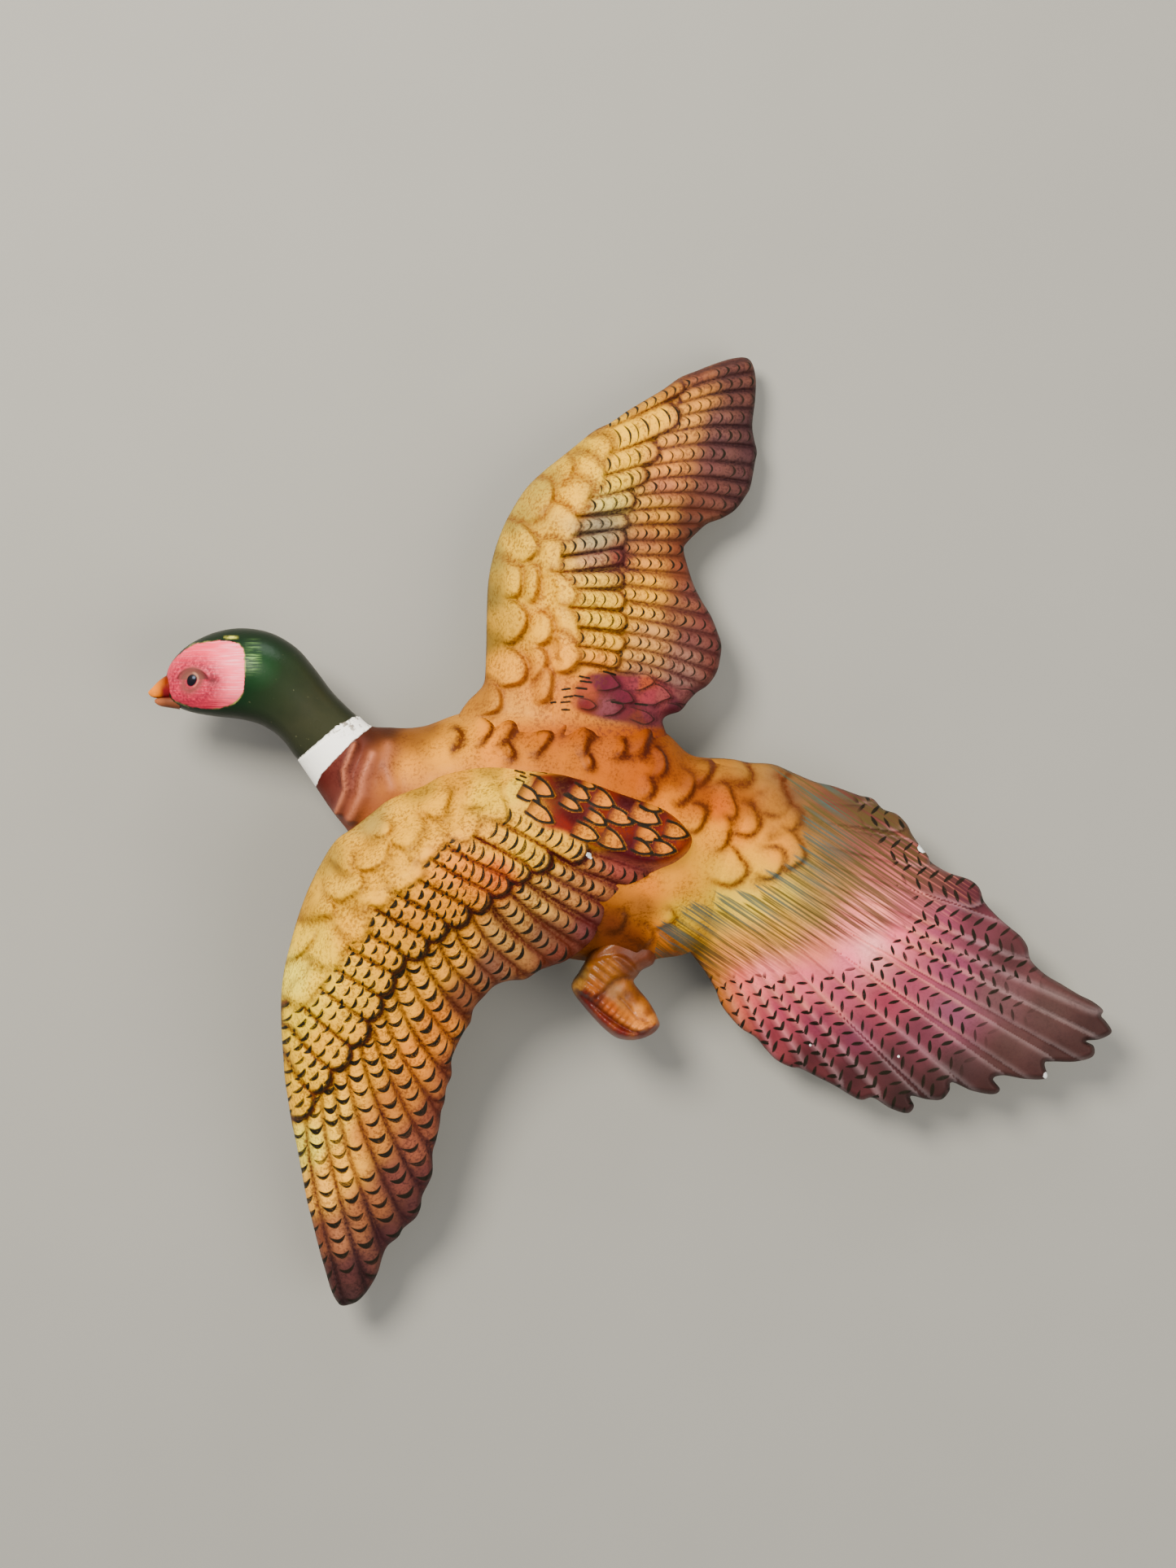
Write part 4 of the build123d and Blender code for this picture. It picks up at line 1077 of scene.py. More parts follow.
TAIL_PAINT = colour_field([
    (25, -3, (176, 92, 38)), (35, -1, (200, 138, 72)), (45, -2, (186, 134, 76)), (54, -3, (150, 112, 70)),
    (32, -9, (164, 72, 32)), (36, -14, (222, 116, 36)), (44, -12, (178, 92, 40)), (52, -12, (196, 130, 74)),
    (34, -22, (252, 188, 62)), (42, -22, (246, 166, 54)), (44, -28, (254, 200, 64)),
    (54, -26, (250, 180, 62)), (57, -19, (212, 142, 58)), (34, -32, (255, 208, 70)),
    (48, -34, (254, 206, 74)), (26, -40, (255, 206, 84)), (36, -42, (252, 230, 130)),
    (30, -50, (240, 206, 140)), (46, -42, (248, 222, 136)), (56, -38, (224, 196, 116)),
    (62, -30, (186, 152, 92)), (58, -10, (104, 80, 62)), (62, -18, (106, 86, 58)), (68, -28, (142, 98, 70)),
    (72, -36, (198, 150, 112)), (64, -44, (206, 166, 112)), (54, -50, (236, 182, 124)),
    (44, -54, (240, 178, 132)), (36, -58, (236, 170, 136)), (66, -54, (232, 148, 136)),
    (76, -48, (248, 160, 160)), (82, -42, (252, 182, 176)), (80, -54, (255, 196, 194)),
    (74, -58, (246, 148, 166)), (88, -50, (246, 142, 160)), (90, -42, (214, 104, 134)),
    (84, -34, (194, 96, 104)), (76, -26, (160, 88, 86)), (68, -12, (120, 60, 54)), (76, -12, (104, 48, 50)),
    (84, -18, (92, 36, 46)), (92, -26, (76, 30, 44)), (96, -33, (90, 38, 54)), (104, -36, (70, 36, 44)),
    (110, -42, (80, 38, 44)), (100, -46, (192, 94, 124)), (112, -52, (136, 70, 80)),
    (120, -56, (90, 50, 50)), (104, -60, (176, 84, 116)), (118, -68, (134, 88, 88)),
    (132, -72, (104, 70, 64)), (146, -78, (76, 48, 44)), (92, -64, (190, 92, 116)),
    (104, -74, (172, 96, 120)), (120, -84, (104, 68, 62)), (134, -88, (76, 48, 44)),
    (84, -70, (182, 74, 96)), (94, -80, (136, 66, 80)), (106, -90, (86, 58, 56)), (116, -95, (74, 46, 42)),
    (72, -66, (206, 100, 128)), (62, -64, (238, 132, 150)), (50, -62, (252, 164, 168)),
    (42, -64, (252, 136, 142)), (40, -72, (222, 92, 120)), (76, -80, (144, 66, 90)),
    (64, -76, (166, 68, 96)), (54, -72, (202, 86, 116)), (50, -80, (140, 52, 64)), (62, -86, (82, 40, 42)),
    (74, -92, (70, 40, 40)), (90, -98, (60, 40, 38)), (86, -88, (86, 50, 52)), (100, -96, (72, 44, 42)),
    (34, -63, (250, 160, 132)), (38, -69, (244, 132, 122)), (45, -77, (196, 92, 98)),
], power=3.4, soft=4.0)
TAIL_SHADE = colour_field([
    (30, -8, (116, 50, 22)), (40, -22, (142, 66, 22)), (50, -12, (120, 56, 28)), (56, -26, (140, 76, 36)),
    (30, -30, (186, 116, 44)), (60, -40, (124, 110, 60)), (70, -20, (100, 74, 44)),
    (80, -48, (196, 100, 100)), (90, -24, (60, 32, 34)), (105, -45, (90, 44, 50)), (120, -65, (62, 42, 44)),
    (140, -78, (46, 32, 32)), (90, -75, (110, 52, 62)), (70, -80, (100, 44, 54)), (50, -75, (130, 54, 62)),
    (100, -92, (50, 34, 34)), (60, -62, (176, 90, 90)),
])


TAIL_START = [
    (76, 2), (76, -12), (79, -19), (85, -27), (91, -36), (94, -43), (88, -51), (81, -56), (75, -60),
    (66, -62), (57, -62), (48, -62), (38, -63), (30, -62), (40, -130), (200, -130), (200, 20), (76, 20),
]
FRINGE = [
    (19, -49), (24, -44.5), (30, -42.5), (36, -41), (44, -38.5), (50, -34), (55, -30.5), (59, -27),
    (61, -21), (60, -13), (56, -7), (50, -1), (44, 6), (90, 30), (220, 30), (220, -140), (0, -140),
]
FRINGE_POINTS = 13  # of the fringe's outline make up its starting line
SWEEP = (0.829, -0.559)  # direction of the brush strokes on the tail
TAIL_ROOT = (16.0, -14.0)
TAIL_NEAR = [(10, 8), (56, 4), (60, -10), (60, -28), (46, -40), (28, -60), (5, -50)]  # flat, on the body


def tail_feathers():
    """The tail's feathers, which fan out of one root."""
    rows = []
    root = np.array(TAIL_ROOT)
    for tip, wide in TAIL_TIPS:
        tip = np.array(tip, float)
        lean = tip - root
        side = np.array([lean[1], -lean[0]]) / np.linalg.norm(lean)
        bend = (tip[1] + 60) * -0.035
        mid = root + lean * 0.5 + side * bend
        rows.append(Feather(root, mid, tip, wide * 0.32, wide * 1.05, 1.3))
    return rows


def brush_values(x, z):
    """Where the long brush strokes of the tail's root run and how far each point lies from their start."""
    inward = np.where(signed_distance(x, z, FRINGE) > 0, 1.0, -1.0)
    begin = inward * line_distance(x, z, FRINGE[:FRINGE_POINTS], False)
    begin = begin * np.where(begin > 0, 1 + 0.9 * smooth((-46 - z) / 12), 1.0)
    return {
        "sweep": x * SWEEP[1] - z * SWEEP[0] + 200.0,
        "reach": x * SWEEP[0] + z * SWEEP[1] + 200.0,
        "fringe": np.clip(begin, -12, 60),
    }


def add_coverts(relief):
    """The soft scales that run from the body over the tail's root."""
    relief.stack(straight(TAIL_COVERTS), rise=-0.3, crown=0.3, edge=2.2, crease_width=1.5, crease=1.1,
                 lift=1.2, layer=2, fade=0.5)


def tail_relief(x, z):
    """Long feathers with hollow vanes, under soft coverts."""
    relief = Relief(x, z)
    relief.ridges(tail_feathers(), rise=0.2, crown=1.5, edge=1.0, crease_width=0.75, crease=0.0,
                  herring=1.0, layer=1)
    start = smooth(signed_distance(x, z, TAIL_START) / 3.0 + 0.5)
    # Between the feathers runs a raised cord, painted pale as a highlight; towards the tips the feathers turn
    # round.
    share = np.clip(relief.edge / 3.2, 0, 1)
    cord = gaussian(relief.edge / 0.8)
    length = np.hypot(x - TAIL_ROOT[0], z - TAIL_ROOT[1])
    tip = smooth((length - 88) / 34)
    hollow = 0.5 + 0.9 * cord - 0.5 * share
    near = smooth(signed_distance(x, z, TAIL_NEAR) / 26.0 + 0.9)
    relief.h = mix(mix(hollow, relief.h, tip), 0.0, near)
    relief.crease = np.zeros(x.shape)
    relief.layer = np.where(start > 0.5, relief.layer, 0)
    relief.herring = relief.herring * start * (1 - smooth((length - 104 - 14 * relief.number) / 12))
    relief.wander(3.6, 1.0)
    add_coverts(relief)
    return relief


def tail_paint(x, z, relief):
    """Olive, pink and wine by place, with pale cords between the feathers as painted highlight and painted
    shade in the hollow vanes.
    """
    tint = np.minimum(TAIL_PAINT(x, z) * 1.08, MOST_ALBEDO)
    if relief is None:
        return tint
    pale = linear((232, 156, 150))
    marked = smooth(signed_distance(x, z, TAIL_START) / 6.0 + 0.3)
    cord = gaussian(relief.edge / 1.0) * (relief.layer == 1) * marked
    trough = (1 - gaussian(relief.edge / 2.2)) * (relief.layer == 1) * marked
    # Painted shade in the hollow middle of each feather.
    tint = tint * (1 - 0.12 * trough[:, None])
    # Painted highlight along the raised cords.
    return mix(tint, np.minimum(tint * 1.6 + 0.06, pale), (cord * 0.85)[:, None])


# ------------------------------------------------------------------ hollow bodies
def loft(stations):
    """Fine rows (upper x, z, lower x, z, middle y, half depth) through a body's oval stations."""
    return catmull(np.array([[*u, *l, y, d] for u, l, y, d in stations], float), 1.0, closed=False)


def bulge(stations):
    """Depth of a lofted body's front at drawn points, or 0 where the body isn't there."""
    rows = loft(stations)

    def front(x, z):
        found = np.zeros(x.shape)
        turn = [(row[2] - row[0]) * (z - row[1]) - (row[3] - row[1]) * (x - row[0]) for row in rows]
        for k in range(len(rows) - 1):
            here = (turn[k] * turn[k + 1] <= 0)
            if not here.any():
                continue
            t = (turn[k] / np.where(turn[k] == turn[k + 1], 1.0, turn[k] - turn[k + 1]))[here]
            row = rows[k] + (rows[k + 1] - rows[k]) * t[:, None]
            middle, half = (row[:, :2] + row[:, 2:4]) / 2, (row[:, :2] - row[:, 2:4]) / 2
            dx, dz = x[here] - middle[:, 0], z[here] - middle[:, 1]
            c = (dx * half[:, 0] + dz * half[:, 1]) / (half**2).sum(1)
            y = np.where(np.abs(c) < 1, row[:, 4] - row[:, 5] * np.sqrt(np.clip(1 - c**2, 0, 1)), 0.0)
            found[here] = np.minimum(found[here], y)
        return found

    return front


def lean_on(front, under, soft, share):
    """A front that flows smoothly onto the body beneath it, where share(x, z) is 1."""
    def value(x, z):
        own, body = -front(x, z), -under(x, z) - 0.7
        h = np.clip(0.5 + (own - body) / (2 * soft), 0, 1)
        joined = mix(body, own, h) + soft * h * (1 - h)
        return -mix(own, joined, share(x, z))
    return value


def tube(name, stations, rings, around, relief_of, extra_points, paint_of=None, shade_of=None,
         flatten=True, painted_from=(-13.0, -8.0)):
    """A closed casting lofted through oval stations, with relief pushed out along its normals."""
    rows = loft(stations)
    pick = np.linspace(0, len(rows) - 1, rings)
    ux, uz, lx, lz, yc, hd = (np.interp(pick, np.arange(len(rows)), column)[:, None] for column in rows.T)
    front = int(around * FRONT_SHARE)
    angle = np.concatenate([np.linspace(0, math.pi, front, endpoint=False),
                            np.linspace(math.pi, 2 * math.pi, around - front, endpoint=False)])
    cos, sin = np.cos(angle), np.sin(angle)
    x = (ux + lx) / 2 + (ux - lx) / 2 * cos
    z = (uz + lz) / 2 + (uz - lz) / 2 * cos
    off = -(yc - hd * sin)
    if flatten:  # against the wall
        off = 0.5 * (off + np.sqrt(off**2 + 1.2**2))
    y = -off
    at = np.stack([x, z, y], axis=-1)
    normal = np.cross(np.gradient(at, axis=0), (np.roll(at, -1, axis=1) - np.roll(at, 1, axis=1)) / 2)
    normal /= np.linalg.norm(normal, axis=-1, keepdims=True) + 1e-9
    middle = at.mean(axis=1, keepdims=True)
    if ((at - middle) * normal).sum(-1).mean() < 0:
        normal = -normal
    facing = smooth((-normal[..., 2] + 0.15) / 0.5)
    flat_x, flat_z, flat_y = x.ravel(), z.ravel(), y.ravel()
    relief = relief_of(flat_x, flat_z)
    at = at + normal * (relief.h.reshape(x.shape) * facing)[..., None]
    points = settle(at[..., 0].ravel(), at[..., 1].ravel(), np.minimum(at[..., 2].ravel(), -0.05))

    # Rings of triangles, and a fan on each end round one more point.
    count = len(points)
    a = np.arange(around)
    b = (a + 1) % around
    k = np.arange(rings - 1)[:, None] * around
    quads = np.stack([k + a, k + b, k + around + b, k + around + a], axis=-1).reshape(-1, 4)
    last = (rings - 1) * around
    tris = np.concatenate([
        quads[:, [0, 1, 2]], quads[:, [0, 2, 3]],
        np.stack([b, a, np.full(around, count)], axis=1),
        np.stack([last + a, last + b, np.full(around, count + 1)], axis=1),
    ])
    points = np.concatenate([points, [points[:around].mean(axis=0), points[-around:].mean(axis=0)]])
    p, q, r = (points[tris[:, n]] for n in range(3))
    row_middle = np.repeat(settle(middle[:, 0, 0], middle[:, 0, 1], middle[:, 0, 2]), around, axis=0)
    outward = (p + q + r) / 3 - row_middle[np.minimum(tris[:, 0], count - 1)]
    if (outward * np.cross(q - p, r - p)).sum(-1).mean() < 0:
        tris = tris[:, ::-1]

    def with_ends(values, rest):
        return np.concatenate([values, np.full((2,) + values.shape[1:], rest)])

    bare, full = painted_from
    turned = np.broadcast_to(np.abs(cos) + (sin < 0) * (1 - np.abs(cos)), x.shape).ravel()
    point_values = {
        "crease": with_ends(relief.crease * facing.ravel(), 0.0),
        "painted": with_ends(smooth((full - flat_y) / (full - bare)), 1.0),
        "turned": with_ends(turned, 1.0),
    }
    for key, values in extra_points(flat_x, flat_z, flat_y).items():
        point_values[key] = with_ends(values, FAR_OFF)
    colours = {}
    if paint_of:
        colours["tint"] = with_ends(paint_of(flat_x, flat_z), 0.2)
        colours["shade"] = with_ends(shade_of(flat_x, flat_z), 0.1)
    return add_mesh(name, points, tris, point_values=point_values, point_colours=colours)


TORSO = [
    ((-68.3, 12.9), (-86.2, 0.2), -22.7, 9.9), ((-65, 10.2), (-81, -7.5), -22.2, 11.3),
    ((-60, 9.7), (-75.5, -15.5), -21.7, 13.4), ((-50, 10), (-66.5, -26), -21, 17),
    ((-36, 14.5), (-51, -40), -20.5, 21.5), ((-10, 18), (-22, -54), -19.5, 26.5),
    ((10, 14), (0, -58.6), -19.5, 27.5), ((21, 8), (10, -59.2), -20, 26.5),
    ((28, 1.8), (19, -57.5), -20, 24.5), ((37, 0.3), (27, -56), -20.5, 20),
    ((47, -3), (35, -51), -21.5, 14.5), ((55, -9), (46, -41), -22.5, 9.5),
    ((59, -17), (55, -30), -23.5, 5.5),
]
BODY_SCALES = [
    ((-45, 4.5), (-39.5, 5.5), 3.6), ((-41, 8.5), (-30.5, 10.2), 3.6), ((-31, 2), (-23.5, 2.5), 2.6),
    ((-34, 7.5), (-23.5, 8.2), 4.2), ((-23, 5.5), (-13.5, 6.2), 3.2), ((-17, 9.5), (-7.5, 11), 3.4),
    ((-8, 0.2), (-1, 1), 2.6), ((-11, 6.5), (-0.8, 7.2), 4.4), ((2, 3.5), (10, 3.4), 3.2),
    ((6, 8), (17, 6.5), 4.6), ((14, -0.5), (20.5, -0.5), 3.4), ((10, -6), (18, -8), 3.2),
    ((20, -6), (28.5, -8.5), 4.4), ((22, -14), (31, -17), 4.6), ((24, 0), (33, -4), 3.2),
]
BELLY_SCALES = [
    ((0, -46), (8, -48), 3), ((8, -48), (17, -51), 3.2), ((14, -45), (22, -47), 3), ((4, -53), (12, -55), 3),
    ((14, -54), (24, -54.5), 2.8),
]
# Body colours by place. They also carry painted light and shade: paler pink on the breast's folds is painted
# highlight, near black just below the collar is painted shade, and the yellow low on the belly is lightened
# to offset its shade.
BODY_PAINT_AND_SHADING = colour_field([
    (-79, -6, (98, 24, 20)), (-75, -4, (120, 50, 46)), (-72, 0, (132, 62, 54)), (-69, 4, (112, 48, 42)),
    (-65, 7, (48, 18, 14)), (-61, 10, (66, 26, 18)), (-76, -12, (128, 58, 54)), (-71, -8, (164, 88, 80)),
    (-68, -3, (160, 86, 78)), (-68, -14, (206, 124, 92)), (-73, -18, (160, 80, 72)),
    (-66, -20, (210, 124, 86)), (-60, 8, (52, 24, 16)), (-60, 2, (182, 106, 70)), (-62, -8, (206, 130, 92)),
    (-52, 7, (156, 92, 44)), (-54, -2, (246, 180, 94)), (-48, 9, (156, 94, 42)), (-45, 3, (248, 186, 94)),
    (-40, 12, (212, 152, 84)), (-38, 6, (252, 190, 92)), (-30, 5, (240, 164, 66)), (-20, 8, (212, 126, 38)),
    (-22, 2, (218, 140, 54)), (-10, 8, (204, 110, 30)), (-8, 1, (212, 128, 46)), (0, 10, (194, 98, 28)),
    (4, 2, (210, 118, 38)), (10, 8, (190, 94, 28)), (18, 6, (160, 70, 28)), (14, -4, (204, 108, 34)),
    (20, -2, (180, 84, 32)), (27, 0, (168, 84, 34)), (26, -6, (172, 74, 28)), (24, -12, (240, 160, 62)),
    (30, -12, (214, 118, 42)), (27, -24, (255, 196, 66)), (22, -34, (254, 190, 70)),
    (16, -36, (238, 156, 66)), (14, -42, (184, 112, 64)), (6, -48, (126, 56, 30)), (12, -52, (140, 60, 20)),
    (20, -51, (236, 150, 80)), (25, -46, (255, 220, 118)), (12, -57, (116, 46, 18)),
    (22, -56, (150, 74, 26)), (-40, -30, (200, 116, 50)), (-60, -28, (196, 112, 66)),
    (-20, -52, (170, 92, 38)), (-74, -8, (122, 54, 50)), (-67, -8, (172, 100, 84)),
    (-69, -12, (176, 100, 82)), (-71, -14, (166, 88, 76)), (-64, -1, (172, 98, 76)),
    (-65, -6, (184, 110, 88)),
], power=3.4, soft=3.0)
BODY_SHADE = colour_field([
    (-75, -5, (84, 22, 20)), (-60, 5, (96, 44, 26)), (-40, 8, (120, 58, 20)), (-20, 6, (104, 44, 16)),
    (0, 6, (96, 38, 16)), (18, 2, (90, 34, 20)), (28, -8, (116, 46, 20)), (30, -20, (180, 96, 30)),
    (10, -50, (86, 38, 16)), (25, -50, (140, 70, 24)), (-65, -15, (170, 90, 60)),
])
# Folds of the breast behind the collar: course, width and height.
BREAST_FOLDS = [
    ([(-70, 4), (-72.4, -3), (-71.6, -8), (-73.6, -14)], 1.5, 2.4),
    ([(-64.5, 1), (-67, -5), (-67.4, -10), (-70, -16)], 2.1, 2.2),
    ([(-60, 4), (-60.6, -2), (-59, -8)], 2.6, 1.0),
]


def both_paints(x, z, first, second):
    """One paint over the body and another over the tail, with a soft change between them."""
    share = smooth((x + 0.25 * z - 16) / 14)[:, None]
    return mix(first(x, z), second(x, z), share)


def body_paint(x, z):
    """The body's colours, with a painted highlight along the folds of the breast."""
    tint = BODY_PAINT_AND_SHADING(x, z)
    for line, wide, high in BREAST_FOLDS:
        # Paler pink along each fold of the breast: a painted highlight.
        fold_highlight = 0.26 * high * gaussian(line_distance(x, z, line, False) / (wide * 0.55))
        tint = mix(tint, linear((222, 152, 136)), fold_highlight[:, None])
    return tint


def root_paint(x, z, relief):
    """The tail's colours, which take over from the body's without a step."""
    return both_paints(x, z, body_paint, lambda x, z: tail_paint(x, z, relief))


def root_shade(x, z):
    return both_paints(x, z, BODY_SHADE, TAIL_SHADE)


def torso_relief(x, z):
    """Scattered scales over a smooth body, and the folds of the breast."""
    relief = Relief(x, z)
    relief.wander(3.6, 1.0)
    relief.stack(straight(BODY_SCALES, 1.1), rise=-0.3, crown=0.3, edge=2.6, crease_width=1.5, crease=1.25,
                 lift=1.5, layer=2, fade=0.6)
    relief.stack(straight(BELLY_SCALES, 1.0), rise=-0.3, crown=0.3, edge=2.2, crease_width=1.4, crease=0.8,
                 lift=1.0, layer=2, fade=0.5)
    add_coverts(relief)
    for line, wide, high in BREAST_FOLDS:
        relief.h += high * gaussian(line_distance(x, z, line, False) / wide)
    return relief


HEAD = [
    ((-124.7, 23.4), (-123.8, 18.8), -24, 2.4), ((-123.8, 27.0), (-122.4, 16.3), -24, 4.9),
    ((-121.6, 30.4), (-120, 15.1), -24, 7.0), ((-117.5, 34.0), (-116.2, 13.9), -24, 9.0),
    ((-110.5, 37.3), (-110, 12.9), -24, 10.8), ((-102.5, 38.6), (-103.5, 12.2), -24, 11.4),
    ((-94, 37.2), (-97.5, 10.7), -24, 11.4), ((-86.5, 32.8), (-93, 8.2), -23.6, 11),
    ((-81, 26.5), (-90, 5.3), -23.2, 10.4), ((-76.5, 20.5), (-88, 2.6), -22.9, 10),
    ((-71.5, 15.3), (-86.6, 0.8), -22.7, 9.7), ((-67.6, 12.0), (-85.0, -0.6), -22.7, 9.2),
]
PATCH = catmull([
    (-124.2, 26.3), (-122.6, 29.0), (-120.1, 31.3), (-116.3, 33.8), (-111.5, 34.6), (-107.5, 34.9),
    (-104, 34.2), (-102.1, 32.3), (-101.7, 27), (-102, 21), (-103.4, 18.2), (-106.4, 16.1), (-110.8, 15.2),
    (-115.7, 15.4), (-119.8, 16.6), (-122.7, 18.2), (-123.9, 22.3),
], 0.5)
COLLAR_TOP = [
    (-95, -8), (-86, 0.5), (-80, 5.7), (-75, 10), (-70, 12.6), (-62, 15), (-50, 60), (120, 60), (120, -90),
    (-95, -90),
]
COLLAR_LOW = [
    (-90, -16), (-81, -7.5), (-79.5, -4), (-77.5, -1.8), (-73.2, 2.6), (-69.5, 6.3), (-65, 9.8), (-60, 14),
    (-40, 60), (120, 60), (120, -90), (-90, -90),
]
EYE_AT = (-117.2, 23.4)


def face_values(x, z, y):
    """Distances from the features of the face, and the place itself."""
    eye = np.hypot((x - EYE_AT[0] - 0.15 * (z - EYE_AT[1])) / 1.0, (z - EYE_AT[1]) / 1.25)
    lid = np.hypot((x - EYE_AT[0] - 0.4) / 1.16, z - EYE_AT[1] + 0.4) - 3.75
    return {
        "patch": np.where(y < -23, signed_distance(x, z, PATCH), -FAR_OFF),
        "eye": eye,
        "lid": np.where(z > EYE_AT[1] + 0.3, lid, np.maximum(lid, 0.6)),
        "collar": np.clip(signed_distance(x, z, COLLAR_TOP), -FAR_OFF, FAR_OFF),
        "plan_x": x, "plan_z": z,
    }


def collar_values(x, z, y):
    """Distances from both edges of the collar, beside the values of the brush strokes."""
    return {
        **brush_values(x, z),
        "collar": np.clip(signed_distance(x, z, COLLAR_TOP), -FAR_OFF, FAR_OFF),
        "maroon": np.clip(signed_distance(x, z, COLLAR_LOW), -FAR_OFF, FAR_OFF),
        "plan_z": z,
    }


def head_relief(x, z):
    """An eye socket with its ball, upper lid and rear fold."""
    relief = Relief(x, z)
    dx, dz = x - EYE_AT[0], z - EYE_AT[1]
    eye = np.hypot(dx - 0.15 * dz, dz / 1.2)
    socket = np.hypot((dx - 0.6) / 5.0, (dz + 0.2) / 4.0)
    lid = np.hypot((dx - 0.4) / 1.16, dz + 0.4) - 3.9
    above = smooth((dz + 0.8) / 1.6)
    relief.h = -1.3 * np.exp(-socket**2 * 1.1) + 1.2 * gaussian(eye / 1.9)
    relief.h += 0.6 * gaussian(lid / 0.8) * above
    back_fold = line_distance(x, z, [(-113.0, 24.4), (-111.4, 23.4), (-109.8, 23.2)], False)
    relief.h -= 0.25 * gaussian(back_fold / 1.1)
    relief.crease = 0.7 * gaussian(back_fold / 0.7)
    return relief


def collar_white(net, mottle, start, amount, stain_from, stain_rate):
    """The white of the collar, dull in patches and stained brown towards the top."""
    white = net.blend(((mottle - start) * 3.0).clamp() * amount, rgba((255, 252, 246)), rgba((216, 200, 176)))
    high = ((net.attribute("plan_z") - stain_from) * stain_rate).clamp()
    stain = ((net.noise(2.2, 3.0, 0.7) - start) * 9.0).clamp() * high
    return net.blend(stain * 0.8, white, rgba((124, 96, 62)))


def spot(px, pz, x, z, fall_x, fall_z):
    """A soft spot of paint at (x, z), with straight sides."""
    return (1.0 - abs(px - x) * fall_x).clamp() * (1.0 - abs(pz - z) * fall_z).clamp()


def round_spot(px, pz, x, z, fall_x, fall_z):
    """A soft round spot of paint at (x, z)."""
    dx, dz = (px - x) * fall_x, (pz - z) * fall_z
    return (1.0 - (dx * dx + dz * dz)).clamp()


